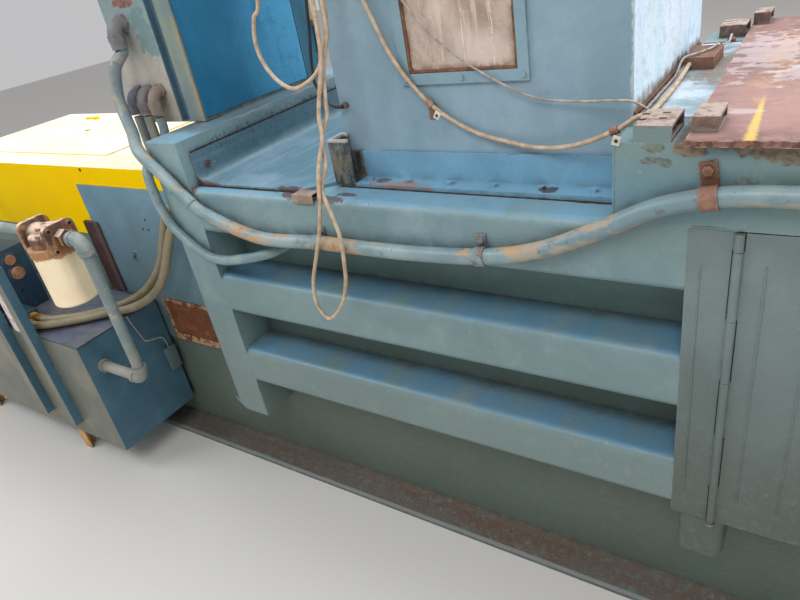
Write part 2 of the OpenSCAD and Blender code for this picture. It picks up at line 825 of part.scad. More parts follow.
// Cross member that holds the cylinder's rear pin between the walls
mount_x = rear_eye_x - 110;
mount_t = 30;
mount_low = 230;
mount_high = 150;
cheek_y = 46;
cheek_t = 30;
cheek_r = 70;
module cylinder_mount() {
    x1 = mount_x + mount_t;
    foot_z = cyl_z - mount_low;
    color(paint) {
        block([mount_x, -wall_in, foot_z], [x1, wall_in, cyl_z + mount_high]);
        difference() {
            for (s = [0, 1]) mirror([0, s, 0]) {
                block([x1, cheek_y, cyl_z - cheek_r],
                      [rear_eye_x, cheek_y + cheek_t, cyl_z + cheek_r]);
                rod_y([rear_eye_x, cheek_y, cyl_z], cheek_r, cheek_t);
            }
            rod_y([rear_eye_x, -80, cyl_z], eye_pin_r + pin_gap, 160);
        }
        rod_y([rear_eye_x, -88, cyl_z], eye_pin_r, 176);
        block([mount_x, -wall_in + base_t, base_t], [x1, -wall_in + 72, foot_z]);
        block([mount_x, wall_in - 72, base_t], [x1, wall_in - base_t, foot_z]);
    }
}

// Hood over the cylinder and the pump: a folded sheet with skirts and a rear end
hatch_x0 = access_x + 60 - hatch_w;
hatch_y = hatch_d / 2;
hatch_hinge_y = hatch_y + 10;
hatch_hinge_z = ledge_z + 8;
hatch_pin_r = 4;
module rear_hood() {
    skirt_y = wall_y + hood_t;
    color(yellow) {
        difference() {
            block([rear_x, -skirt_y, skirt_z], [portal_x - 1, skirt_y, ledge_z]);
            block([rear_x + hood_t, -wall_y, skirt_z - 1], [portal_x, wall_y, ledge_z - hood_t]);
            block([hatch_x0 + 25, -hatch_y + 25, ledge_z - hood_t - 1],
                  [hatch_x0 + hatch_w - 25, hatch_y - 25, ledge_z + 1]);
        }
        for (x = [hatch_x0 + 90, hatch_x0 + hatch_w - 170]) {
            for (dx = [0, 60]) {
                rod_x([x + dx, hatch_hinge_y, hatch_hinge_z], 8, 20);
                block([x + dx, hatch_hinge_y - 4, ledge_z], [x + dx + 20, hatch_hinge_y + 8,
                      hatch_hinge_z]);
            }
            rod_x([x, hatch_hinge_y, hatch_hinge_z], hatch_pin_r, 80);
        }
    }
}
// Hatch in the hood's top, with its front corner seam and a lifting hole
module rear_hatch() {
    t = 3;
    color(yellow) difference() {
        union() {
            block([hatch_x0, -hatch_y, ledge_z + slide_gap], [hatch_x0 + hatch_w, hatch_y - 4,
                  ledge_z + slide_gap + t]);
            for (x = [hatch_x0 + 90, hatch_x0 + hatch_w - 170]) {
                rod_x([x + 21, hatch_hinge_y, hatch_hinge_z], 7.5, 38);
                block([x + 21, hatch_y - 30, ledge_z + slide_gap], [x + 59, hatch_hinge_y,
                      ledge_z + slide_gap + t]);
            }
        }
        for (x = [hatch_x0 + 90, hatch_x0 + hatch_w - 170])
            rod_x([x + 20, hatch_hinge_y, hatch_hinge_z], hatch_pin_r + pin_gap, 40);
        rod_z([hatch_x0 + 335, 58, ledge_z - 1], 14, 10);
    }
}

// Access cover on the skirt's face, its centre screw and its lower ledge
module access_cover() {
    y1 = -wall_y - hood_t;
    color(paint) {
        block([access_x, y1 - 4, access_z0], [portal_x - 3, y1, access_z1]);
        block([access_x, y1, access_z0], [portal_x - 3, -wall_y, access_z0 + 20]);
        rod_y([access_x + 170, y1 - 14, (access_z0 + access_z1) / 2 + 42], 14, 11, 6);
    }
}
// Rusty strip that laps over the access cover's left edge
module rust_strip() {
    y1 = -wall_y - hood_t;
    z0 = 545;
    z1 = 815;
    color(rust) {
        block([access_x - 42, y1 - 12, z0], [access_x + 38, y1 - 4, z1]);
        block([access_x - 42, y1 - 4, z0], [access_x - 1, y1, z1]);
    }
}
// Rusty screwed inspection cover over the wall's lower opening
insp_x = -1065;
insp_w = 250;
insp_z = 380;
insp_h = 167;
module inspection_cover() {
    y1 = -wall_y - hood_t - 4;
    color(rust) {
        block([insp_x, y1 - 5, insp_z], [insp_x + insp_w, y1, insp_z + insp_h]);
        for (x = [insp_x + 14, insp_x + insp_w - 14]) for (z = [insp_z + 14, insp_z + insp_h - 14])
            rod_y([x, y1 - 10, z], 8, 5, 6);
    }
}

// Oil tank with two gauge bars and a sight gauge on its front
tank_x0 = tank_x - tank_len;
bar_w = 40;
module oil_tank() {
    t = 5;
    color(deep) {
        difference() {
            block([tank_x0, tank_y, tank_z0], [tank_x, tank_back_y, tank_z1 - 4]);
            block([tank_x0 + t, tank_y + t, tank_z0 + t],
                  [tank_x - t, tank_back_y - t, tank_z1]);
            rod_x([tank_x - t - 1, pipe_y, pipe_z0], pipe_r + slide_gap, t + 2);
        }
        for (x = [tank_x - 218, tank_x - 408])
            block([x - bar_w, tank_y - 30, tank_z0 + 65], [x, tank_y, tank_z1 + 264]);
    }
}
module tank_lid() {
    color(deep) block([tank_x0 - 4, tank_y + 1, tank_z1 - 4], [tank_x + 4, tank_back_y + 2,
                      tank_z1]);
}
module tank_legs() {
    t = 6;
    w = 40;
    color([0.90, 0.68, 0.20]) for (x = [tank_x0 + 20, tank_x - 330]) {
        difference() {
            block([x, tank_y + 8, 0], [x + w, tank_y + 8 + w, tank_z0]);
            block([x + t, tank_y + 8 + t, -1], [x + w + 1, tank_y + 9 + w, tank_z0 + 1]);
        }
        difference() {
            block([x, -wall_y - 60, base_t], [x + w, -wall_y - 60 + w, tank_z0]);
            block([x + t, -wall_y - 61, base_t - 1], [x + w + 1, -wall_y - 60 + w - t,
                  tank_z0 + 1]);
        }
    }
}

// Valve box on the lid, with plugged ports in its right face, and the hose block beside it
box_x = -1567;
box_len = 400;
box_d = 184;
box_h = 241;
box_t = 5;
port_x = box_x + 110;
module valve_box() {
    x0 = box_x - box_len;
    y1 = tank_y + box_d;
    z1 = tank_z1 + box_h;
    color(deep) {
        difference() {
            block([x0, tank_y, tank_z1], [box_x, y1, z1]);
            block([x0 + box_t, tank_y + box_t, tank_z1 + box_t],
                  [box_x - box_t, y1 - box_t, z1 - box_t]);
        }
        for (k = [0, 1]) rod_x([box_x, tank_y + 79 + k * 30, tank_z1 + 176 - k * 52], 22, 5);
        block([box_x + 3, tank_y + 5, tank_z1], [port_x, tank_y + 85, tank_z1 + 42]);
        for (dy = [23, 61]) rod_x([port_x, tank_y + dy, tank_z1 + 20], 15, 24, 6);
    }
}

// Electric motor and gear pump on a shelf under the hood, behind the cylinder: the shelf runs
// up to the cylinder's mount, and the motor takes the length that the pump leaves
pump_gap = 10;
pump_len = 110;
bell_len = 60;
motor_r = 120;
module pump_set() {
    x = rear_x + 60;
    end_x = mount_x - pump_gap;
    pump_x = end_x - pump_len;
    motor_len = pump_x - bell_len - x;
    z = cyl_z + 160;
    shelf = cyl_z - 20;
    color([0.35, 0.40, 0.42]) {
        block([x - 40, -wall_in, shelf], [end_x, wall_in, shelf + 10]);
        for (foot_x = [x + 30, x + motor_len - 80])
            block([foot_x, -90, shelf + 10], [foot_x + 50, 90, shelf + 70]);
        difference() {
            rod_x([x, 0, z], motor_r, motor_len);
            for (k = [0:23]) translate([0, 0, z]) rotate([15 * k, 0, 0])
                block([x + 20, -3, motor_r - 8], [x + motor_len - 30, 3, motor_r + 10]);
        }
        rod_x([x - 30, 0, z], motor_r - 15, 30);
        rod_x([x + motor_len, 0, z], 70, bell_len);
        block([pump_x, -60, z - 70], [end_x, 60, z + 60]);
        block([pump_x, -50, shelf + 10], [pump_x + 50, 50, z - 70]);
    }
}

// Cast filter head: a round-shouldered drum between two bolted side flanges with port nuts
filter_x = -1065;
head_z0 = pipe_z1 - 46;
head_reach = 102;
module flange_outline(w, h, r) {
    square([w - 2 * r, h], center = true);
    square([w, h - 2 * r], center = true);
    for (a = [-1, 1]) for (b = [-1, 1]) translate([a * (w / 2 - r), b * (h / 2 - r)]) circle(r);
}
module filter_head() {
    flange_w = 96;
    flange_h = 92;
    color([0.45, 0.38, 0.33]) {
        rod_z([filter_x, pipe_y, head_z0], can_r + 3, 22);
        translate([filter_x, pipe_y, head_z0 + 20]) rotate_extrude() {
            square([56, 28]);
            square([42, 42]);
            translate([42, 28]) circle(14);
        }
        rod_z([filter_x, pipe_y, pipe_z1 + 12], 27, 20);
        rod_x([filter_x - 70, pipe_y, pipe_z1], 34, 140);
        for (s = [-1, 1]) {
            x = filter_x + s * 66 - 8;
            translate([x, pipe_y, pipe_z1]) rotate([90, 0, 90]) linear_extrude(16)
                flange_outline(flange_w, flange_h, 20);
            for (dy = [-33, 33]) for (dz = [-31, 31])
                rod_x([s > 0 ? x + 16 : x - 4, pipe_y + dy, pipe_z1 + dz], 8, 4);
            rod_x([filter_x + (s > 0 ? 74 : -head_reach), pipe_y, pipe_z1], 27, head_reach - 74, 6);
        }
    }
}
// Spin-on filter can
module filter_can() {
    color([0.90, 0.86, 0.74]) translate([filter_x, pipe_y, head_z0 - can_h])
        rotate_extrude() {
            translate([0, 10]) square([can_r, can_h - 20]);
            square([can_r - 10, can_h]);
            translate([can_r - 10, 10]) circle(10);
            translate([0, can_h - 12]) square([can_r, 12]);
        }
}

// Threaded elbow fitting with a collar at each mouth
module elbow(bend, r) {
    quarter_bend(bend, r + 4);
    translate([bend, 0, -12]) cylinder(r = r + 6, h = 14);
    translate([-12, 0, bend]) rotate([0, 90, 0]) cylinder(r = r + 6, h = 14);
}
// Return line: out of the filter, down and into the tank, and the inlet run into the hood
down_x = -900;
inlet_x = -1960;
module return_pipe() {
    bend = 34;
    x_head = filter_x + head_reach;
    y_hood = -wall_y - hood_t;
    color(paint) {
        rod_x([x_head, pipe_y, pipe_z1], pipe_r, down_x - bend - x_head + 2);
        translate([down_x - bend, pipe_y, pipe_z1 - bend]) elbow(bend, pipe_r);
        rod_z([down_x, pipe_y, pipe_z0 + bend], pipe_r, pipe_z1 - pipe_z0 - 2 * bend);
        translate([down_x - bend, pipe_y, pipe_z0 + bend]) mirror([0, 0, 1]) elbow(bend, pipe_r);
        rod_x([tank_x - 4, pipe_y, pipe_z0], pipe_r, down_x - bend - tank_x + 4);
        rod_x([tank_x, pipe_y, pipe_z0], pipe_r + 6, 14);
        rod_x([inlet_x + bend, pipe_y, pipe_z1], pipe_r, filter_x - head_reach - inlet_x - bend);
        translate([inlet_x + bend, pipe_y + bend, pipe_z1]) rotate([90, 0, 0]) mirror([1, 0, 0])
            elbow(bend, pipe_r);
        rod_y([inlet_x, pipe_y + bend, pipe_z1], pipe_r, y_hood - pipe_y - bend);
        rod_y([inlet_x, y_hood - 10, pipe_z1], pipe_r + 12, 10);
    }
}

// Control cabinet: a sheet case open on its right side, standing on the beam and two legs
strip_w = 60;
band_w = 35;
module control_cabinet() {
    y1 = cab_y + cab_d;
    inner_x = cab_x1 - strip_w;
    color(beige) {
        difference() {
            block([cab_x0, cab_y, cab_z0], [cab_x1, y1, cab_z]);
            block([cab_x0 + cab_t, cab_y + cab_t, cab_z0 + cab_t],
                  [cab_x1 + 1, y1 - cab_t, cab_z - cab_t]);
            block([inner_x - band_w, cab_y - 1, cab_z0 + cab_t], [inner_x, cab_y + cab_t + 1,
                  cab_z - cab_t]);
        }
        block([inner_x - band_w, cab_y + 18, cab_z0 + cab_t], [inner_x, cab_y + 18 + cab_t,
              cab_z - cab_t]);
        for (x = [inner_x - band_w - cab_t, inner_x])
            block([x, cab_y, cab_z0 + cab_t], [x + cab_t, cab_y + 18 + cab_t, cab_z - cab_t]);
        for (x = [cab_x1 - cab_t]) {
            block([x, cab_y, cab_z0], [x + cab_t, cab_y + 30, cab_z]);
            block([x, y1 - 30, cab_z0], [x + cab_t, y1, cab_z]);
            block([x, cab_y, cab_z0], [x + cab_t, y1, cab_z0 + 24]);
            block([x, cab_y, cab_z - 24], [x + cab_t, y1, cab_z]);
        }
        for (y = [y1 - 130, y1 - 50]) block([cab_x0 + 10, y, ledge_z], [cab_x0 + 50, y + 40, cab_z0]);
        block([cab_x1 - 20, cab_y + 60, portal_z], [cab_x1, y1 - 60, cab_z0]);
        for (z = cab_hinge_z) {
            rod_z([cab_hinge_x, cab_hinge_y, z - 20], cab_pin_r, 100);
            for (dz = [-20, 61]) {
                rod_z([cab_hinge_x, cab_hinge_y, z + dz], 7, 19);
                block([cab_x1 - 1, cab_hinge_y - 3, z + dz], [cab_hinge_x, cab_hinge_y + 3, z + dz + 19]);
            }
        }
    }
}
// Cabinet door: a folded tray closing on the right side, hinged at its back edge
cab_hinge_x = cab_x1 + 9;
cab_pin_r = 4;
cab_hinge_z = [cab_z0 + 88, cab_z - 148];
cab_hinge_y = cab_y + cab_d - 8;
cab_grip_z = cab_z - 360;
module cabinet_door() {
    y0 = cab_y + 6;
    y1 = cab_hinge_y - 12;
    z0 = cab_z0 + 8;
    z1 = cab_z - 8;
    x0 = cab_x1 + slide_gap;
    color(deep) difference() {
        union() {
            block([x0, y0, z0], [x0 + cab_t, y1, z1]);
            for (z = cab_hinge_z) {
                rod_z([cab_hinge_x, cab_hinge_y, z], 7, 60);
                block([x0 + 1, y1 - 20, z], [x0 + cab_t, cab_hinge_y, z + 60]);
                block([x0 + 1, cab_hinge_y - 3, z], [cab_hinge_x, cab_hinge_y + 3, z + 60]);
            }
            rod_x([x0 + cab_t, y0 + 34, cab_grip_z], 16, 12);
            block([x0 + cab_t + 10, y0 + 28, cab_grip_z - 40],
                  [x0 + cab_t + 20, y0 + 40, cab_grip_z + 40]);
        }
        for (z = cab_hinge_z)
            rod_z([cab_hinge_x, cab_hinge_y, z - 1], cab_pin_r + pin_gap, 62);
    }
}

// Conduit elbows on the cabinet's front: one large, three small, each with its nut
big_elbow = [-860, -284, 1408];
small_x = [-890, -845, -795];
small_y = -284;
small_z = 1225;
module conduit_elbow(x, y, z, r, drop) {
    reach = cab_y - y;
    rod_y([x, y + reach - 9, z], r + 9, 9, 6);
    translate([x, y, z - reach + 9]) rotate([0, 0, 90]) translate([reach - 9, 0, 0])
        mirror([1, 0, 0]) quarter_bend(reach - 9, r + 4);
    rod_z([x, y, z - reach - 6], r + 7, 18, 6);
    rod_z([x, y, z - reach - drop], r + 5, drop);
}
module conduit_elbows() {
    color([0.45, 0.48, 0.50]) {
        conduit_elbow(big_elbow[0], big_elbow[1], big_elbow[2], conduit_r, 26);
        for (x = small_x) conduit_elbow(x, small_y, small_z, branch_r, 20);
        for (x = [small_x[0], small_x[1]]) {
            rod_z([x, small_y, ledge_z], branch_r, small_z - ledge_z - 60);
            rod_z([x, small_y, ledge_z], branch_r + 7, 12, 6);
        }
    }
}

// Main conduit along the service side
line_y = -face_y - conduit_r - 3;
main_route = [
    [-860, -284, 1348], [-860, -284, 1338], [-871, -311, 1309], [-880, -322, 1268],
    [-880, -332, 1224], [-858, -346, 1182], [-800, -381, 1146], [-706, -444, 1115],
    [-637, line_y, 1059], [-579, line_y, 1002], [-515, line_y, 957],
    [-344, line_y, 908], [-150, line_y, 914], [72, line_y, 915], [262, line_y, 927],
    [385, line_y, 955], [494, line_y, 1005], [574, line_y, 1047], [659, line_y, 1072],
    [760, line_y, 1080], [1000, line_y, 1080], [1300, line_y, 1080], [1560, line_y, 1080]
];
module main_conduit() {
    color(paint) {
        swept(main_route, conduit_r, 4, 12);
        rod_x([1558, line_y, 1080], conduit_r + 2.9, 24, 6);
        block([1580, -face_y - 44, 1040], [1650, -face_y, 1120]);
    }
}

// Branch conduit from the right small elbow into the side wall
branch_y = -face_y - branch_r - 2.5;
branch_route = [
    [-795, small_y, 1160], [-795, small_y, 1125], [-792, -302, 1092], [-762, -362, 1076],
    [-726, -420, 1069], [-706, branch_y, 1045], [-705, branch_y, 1000], [-700, branch_y, 960],
    [-676, branch_y, 906], [-619, branch_y, 856], [-561, branch_y, 826], [-496, branch_y, 824],
    [-429, branch_y, 837], [-385, -443, 846], [-352, -425, 851], [-338, -395, 852],
    [-335, -356, 852], [-335, -334, 852], [-335, -wall_y, 852]
];
module branch_conduit() {
    color(paint) {
        swept(branch_route, branch_r, 3, 12);
        rod_y([-335, -wall_y - 16, 852], branch_r + 7, 16, 6);
    }
}

// Two hydraulic hoses from the wall beside the portal to the block on the tank's lid
hose_z = tank_z1 + hose_r + 6;
hose_routes = [
    [[-812, -322.3, 905], [-812, -346, 905], [-826, -364, 876], [-926, -366, 726],
     [-1020, -372, 636], [-1106, -392, 580], [-1176, -440, hose_z + 1], [-1240, -510, hose_z],
     [-1330, -566, hose_z], [-1392, -584, hose_z], [-1432, -584, hose_z]],
    [[-772, -322.3, 884], [-772, -350, 884], [-792, -384, 848], [-890, -398, 696],
     [-990, -404, 610], [-1090, -428, 563], [-1176, -482, hose_z], [-1250, -548, hose_z],
     [-1340, -606, hose_z], [-1392, -622, hose_z], [-1432, -622, hose_z]]
];
module hoses() {
    color([0.45, 0.42, 0.34]) for (k = [0, 1]) {
        swept(hose_routes[k], hose_r, 3, 10);
        p = hose_routes[k][0];
        rod_y([p[0], p[1] - 18, p[2]], hose_r + 5, 18, 6);
    }
}

// Strap clamps that hold the main conduit, clips that hold the cord, and small fittings
clamp_points = [12, 14, 18];
clamp_rise = [34, 40, 52];
clamp_half = [11, 11, 13];
module strap(i, up, w) {
    g = slide_gap;
    x = main_route[i][0];
    z = main_route[i][2];
    run = main_route[i + 1] - main_route[i - 1];
    tilt = atan2(run[2], run[0]);
    translate([x, 0, z]) rotate([0, -tilt, 0]) translate([-x, 0, -z]) {
        difference() {
            rod_x([x - w, line_y, z], conduit_r + g + 2.5, 2 * w);
            rod_x([x - w - 1, line_y, z], conduit_r + g, 2 * w + 2);
        }
        block([x - w, -face_y - 3, z + conduit_r - 4], [x + w, -face_y, z + up]);
        rod_y([x, -face_y - 5, z + up - w], w, 2);
        rod_y([x, -face_y - 10, z + up - w], 0.65 * w, 5, 6);
    }
}
module cord_clip(i) {
    run = cord_run_route[i + 1] - cord_run_route[i - 1];
    turn = atan2(run[1], run[0]);
    dip = atan2(run[2], norm([run[0], run[1]]));
    translate(cord_run_route[i]) rotate([0, 0, turn]) rotate([0, -dip, 0]) difference() {
        rod_x([-7, 0, 0], cord_r + 3, 14);
        rod_x([-8, 0, 0], cord_r + 2 * slide_gap, 16);
    }
}
// Switch box on the roof, and a cleat with a small front lip on the ledge
switch_x = 522;
switch_y = 35;
module switch_box() {
    block([switch_x, switch_y, header_z], [switch_x + 56, switch_y + 115, header_z + 25]);
}
cleat_x = -212;
cleat_len = 56;
module ledge_cleat() {
    x1 = cleat_x + cleat_len;
    block([cleat_x, -face_y - 4, ledge_z], [x1, -deck_y - 2, ledge_z + 10]);
    block([cleat_x, -face_y - 4, ledge_z - 12], [x1, -face_y, ledge_z]);
}
module line_clamps() {
    color(rust) {
        for (k = [0:2]) strap(clamp_points[k], clamp_rise[k], clamp_half[k]);
        for (i = [6, 11]) cord_clip(i);
        block([104 - 9, -hopper_y - 3, 1184 - 34], [104 + 9, -hopper_y, 1184 - 4]);
        block([489, -348, 1124], [header_x, -344, 1133]);
        switch_box();
        ledge_cleat();
        for (p = glands) rod_y([p[0], p[1] - gland_len, p[2]], 11, gland_len, 6);
        for (p = thin_ends) rod_y([p[0], p[1] - gland_len, p[2]], 7, gland_len, 6);
        rod_z([572, 302, header_z], 9, 8, 6);
        block([drop_start[0] - 8, drop_start[1] - 6, drop_start[2] - 4],
              [drop_start[0] + 8, drop_start[1] + 10, hopper_z - hopper_t]);
    }
}

// Ends of the cords: glands on the hopper's front and a clip under its rim
gland_len = 14;
glands = [
    [-60, -hopper_y, 1500], [-100, -hopper_y, 1760], [-70, -hopper_y, 1760],
    [-40, -hopper_y, 1760]
];
thin_ends = [[30, -hopper_y, 1600], [-118, -hopper_y, 1500], [-118, -hopper_y, 1183]];
drop_start = [-150, -315, 2124];

// Cord that runs across the hopper's face to the switch box on the roof
cord_run_route = [
    [-60, -304, 1500], [-60, -312, 1500], [-56, -320, 1478], [-38, -314, 1440],
    [-11, -307, 1389], [37, -305, 1273], [104, -300, 1184], [189, -300, 1129],
    [274, -304, 1106], [347, -312, 1098], [420, -330, 1112], [489, -346, 1142],
    [522, -334, header_z + 12], [533, -290, header_z + 6], [535, -200, header_z + 5],
    [534, -100, header_z + 5], [532, 10, header_z + 11], [532, 24, header_z + 12], [532, switch_y, header_z + 12]
];
module cord_run() { color([0.80, 0.74, 0.64]) swept(cord_run_route, cord_r, 4, 8); }

// Slack cord that hangs beside the hopper in a long loop in front of the ribs
cord_slack_route = [
    [-100, -304, 1760], [-100, -313, 1760], [-103, -326, 1730], [-98, -332, 1600],
    [-91, -358, 1450], [-87, -372, 1354], [-83, -385, 1300], [-94, -405, 1224],
    [-99, -412, 1189], [-92, -425, 1149], [-103, -442, 1097], [-103, -460, 1049],
    [-101, -470, 1015], [-118, -478, 947], [-153, -478, 868], [-173, -478, 818],
    [-179, -478, 760], [-149, -478, 725], [-99, -478, 774], [-73, -478, 833],
    [-64, -478, 879], [-58, -478, 953], [-78, -470, 1016], [-105, -447, 1047],
    [-94, -430, 1096], [-102, -414, 1145], [-89, -398, 1187], [-85, -396, 1222],
    [-92, -373, 1278], [-82, -368, 1314], [-73, -362, 1351], [-74, -352, 1450],
    [-76, -334, 1600], [-72, -326, 1730], [-70, -313, 1760], [-70, -304, 1760]
];
module cord_slack() { color([0.80, 0.74, 0.64]) swept(cord_slack_route, cord_r, 2, 8); }

// Cord that drops from the rim's clip, sags beside the hopper and rises to its gland
cord_drop_route = [
    drop_start + [0, -6, 0], drop_start + [0, -14, 0], [-156, -338, 2092], [-185, -344, 1900],
    [-215, -348, 1600], [-245, -352, 1421], [-267, -354, 1388], [-277, -358, 1345],
    [-266, -364, 1304], [-233, -372, 1266], [-184, -380, 1244], [-135, -384, 1255],
    [-104, -374, 1279], [-92, -352, 1323], [-85, -345, 1348], [-78, -336, 1450],
    [-52, -322, 1600], [-42, -322, 1730], [-40, -313, 1760], [-40, -304, 1760]
];
module cord_drop() { color([0.80, 0.74, 0.64]) swept(cord_drop_route, cord_r, 3, 8); }

// Thin wire across the window to the roof, over the switch box and down behind it
thin_r = 2.5;
cord_thin_route = [
    [30, -304, 1600], [30, -309, 1600], [36, -314, 1564], [52, -312, 1460], [79, -306, 1380],
    [144, -304, 1303], [224, -304, 1243], [321, -304, 1194], [398, -306, 1183],
    [470, -316, 1185], [507, -318, 1184], [523, -300, 1170], [521, -262, 1156],
    [519, -200, 1153], [519, -60, 1153], [519, -15, 1158], [522, 22, 1176], [540, 52, 1178],
    [562, 100, 1178], [567, 142, 1179], [569, 158, 1178], [571, 182, 1166], [574, 250, 1158], [573, 290, 1165],
    [572, 302, 1165], [572, 302, 1157]
];
module cord_thin() { color([0.80, 0.74, 0.64]) swept(cord_thin_route, thin_r, 3, 8); }

// Dark wire in a short loop at the hopper's left corner
cord_dark_route = [
    [-118, -304, 1500], [-118, -309, 1500], [-128, -314, 1474], [-152, -308, 1410],
    [-166, -304, 1345], [-180, -302, 1290], [-185, -302, 1249], [-183, -302, 1229],
    [-161, -304, 1197], [-136, -312, 1186], [-118, -309, 1183], [-118, -304, 1183]
];
module cord_dark() { color([0.16, 0.15, 0.14]) swept(cord_dark_route, thin_r + 1, 3, 8); }

base_rails();
side_wall_front();
side_wall_back();
chamber_floor();
rib_lower();
rib_middle();
rib_upper();
back_ribs();
portal_posts();
portal_beam();
throat_posts();
headers();
deck_plate();
hopper_flange();
hopper_shell();
window_frame();
window_pane();
roof_plate();
chamber_ceiling();
shear_blade();
top_plate();
tube_lugs();
hinge_leaf();
hinge_pin();
side_door();
latch_post();
door_dog_upper();
door_dog_lower();
end_wall();
ram_body();
ram_shoes();
piston_rod();
rod_pin();
cylinder_barrel();
cylinder_mount();
rear_hood();
rear_hatch();
access_cover();
rust_strip();
inspection_cover();
oil_tank();
tank_lid();
tank_legs();
valve_box();
pump_set();
filter_head();
filter_can();
return_pipe();
control_cabinet();
cabinet_door();
conduit_elbows();
main_conduit();
branch_conduit();
hoses();
line_clamps();
cord_run();
cord_slack();
cord_drop();
cord_thin();
cord_dark();
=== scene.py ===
"""A recycling baler's finishes, cords and small fittings over its fixed frame, in metres."""

import json
import math

import bmesh
import bpy
from mathutils import Matrix, Vector, noise


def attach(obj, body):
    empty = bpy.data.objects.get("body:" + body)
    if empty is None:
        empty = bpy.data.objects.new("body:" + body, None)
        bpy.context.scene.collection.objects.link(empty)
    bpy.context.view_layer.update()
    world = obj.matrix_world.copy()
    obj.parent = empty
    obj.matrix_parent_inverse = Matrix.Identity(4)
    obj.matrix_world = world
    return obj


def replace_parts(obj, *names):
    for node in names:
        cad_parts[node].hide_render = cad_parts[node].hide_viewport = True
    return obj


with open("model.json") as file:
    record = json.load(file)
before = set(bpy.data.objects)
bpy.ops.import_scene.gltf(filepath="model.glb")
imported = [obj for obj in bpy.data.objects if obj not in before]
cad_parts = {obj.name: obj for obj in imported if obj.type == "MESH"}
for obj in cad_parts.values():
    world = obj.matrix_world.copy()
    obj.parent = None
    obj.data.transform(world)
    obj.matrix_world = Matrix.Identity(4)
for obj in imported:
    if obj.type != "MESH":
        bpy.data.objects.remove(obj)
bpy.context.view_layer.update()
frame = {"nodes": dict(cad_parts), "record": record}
NODES = frame["nodes"]


def link(name, data):
    """An object with its data, in the scene."""
    made = bpy.data.objects.new(name, data)
    bpy.context.scene.collection.objects.link(made)
    return made


# Camera: where it stands, and its right, up and back directions
CAMERA_PLACE = Vector((0.8, -1.43, 1.484))
CAMERA_RIGHT = Vector((0.8354, 0.5244, -0.1647))
CAMERA_UP = Vector((-0.1417, 0.4951, 0.8572))
CAMERA_BACK = Vector((0.5311, -0.6927, 0.4880))
LENS = 28.67
SENSOR = 36.0


def add_camera():
    """The camera at the photograph's viewing angle."""
    data = bpy.data.cameras.new("camera")
    data.lens = LENS
    data.sensor_width = SENSOR
    data.clip_start = 0.05
    data.clip_end = 100.0
    camera = link("camera", data)
    turn = Matrix((CAMERA_RIGHT, CAMERA_UP, CAMERA_BACK)).transposed()
    camera.matrix_world = Matrix.Translation(CAMERA_PLACE) @ turn.to_4x4()
    bpy.context.scene.camera = camera


FLOOR_REACH = 15.0
FLOOR_COLOUR = (0.62, 0.60, 0.57, 1.0)


def add_floor():
    """A plain pale floor."""
    form = bmesh.new()
    bmesh.ops.create_grid(form, x_segments=1, y_segments=1, size=FLOOR_REACH)
    mesh = bpy.data.meshes.new("floor")
    form.to_mesh(mesh)
    form.free()
    pale = bpy.data.materials.new("pale_floor")
    pale.use_nodes = True
    shader = pale.node_tree.nodes["Principled BSDF"]
    shader.inputs["Base Color"].default_value = FLOOR_COLOUR
    shader.inputs["Roughness"].default_value = 0.85
    mesh.materials.append(pale)
    link("floor", mesh)


# Lamps: name, place, target, size, power and colour
LAMPS = (
    ("top_light", (0.2, 1.4, 4.6), (0.0, 0.0, 0.9), (4.5, 3.0), 180.0, (0.94, 0.98, 1.0)),
    ("front_light", (0.6, -3.4, 4.6), (0.1, -0.4, 1.1), (3.0, 1.6), 82.0, (1.0, 0.99, 0.97)),
    ("left_light", (-3.0, -2.2, 3.9), (0.0, -0.4, 0.8), (1.6, 1.6), 55.0, (0.93, 0.97, 1.0)),
    ("right_light", (4.2, 0.2, 2.6), (0.4, 0.0, 1.3), (2.5, 2.0), 92.0, (0.97, 0.99, 1.0)),
)


def add_light():
    """Square soft lamps that face their targets, and a pale surround."""
    for name, place, target, size, power, colour in LAMPS:
        data = bpy.data.lights.new(name, "AREA")
        data.shape = "RECTANGLE"
        data.size, data.size_y = size
        data.energy = power
        data.color = colour
        aim = (Vector(target) - Vector(place)).to_track_quat("-Z", "Y")
        link(name, data).matrix_world = Matrix.Translation(place) @ aim.to_matrix().to_4x4()
    world = bpy.data.worlds.new("surround")
    bpy.context.scene.world = world
    world.use_nodes = True
    back = world.node_tree.nodes["Background"]
    back.inputs["Color"].default_value = (0.98, 0.98, 1.0, 1.0)
    back.inputs["Strength"].default_value = 0.54


add_camera()
add_floor()
add_light()


# Finishes: each one grows from its piece's own coordinates, its colours as a screen shows them
def shade(colour):
    """A screen colour, 0 to 255, for a shader."""
    levels = [value / 255.0 for value in colour]
    return tuple(v / 12.92 if v <= 0.04045 else ((v + 0.055) / 1.055) ** 2.4 for v in levels)


FINISHES = {}


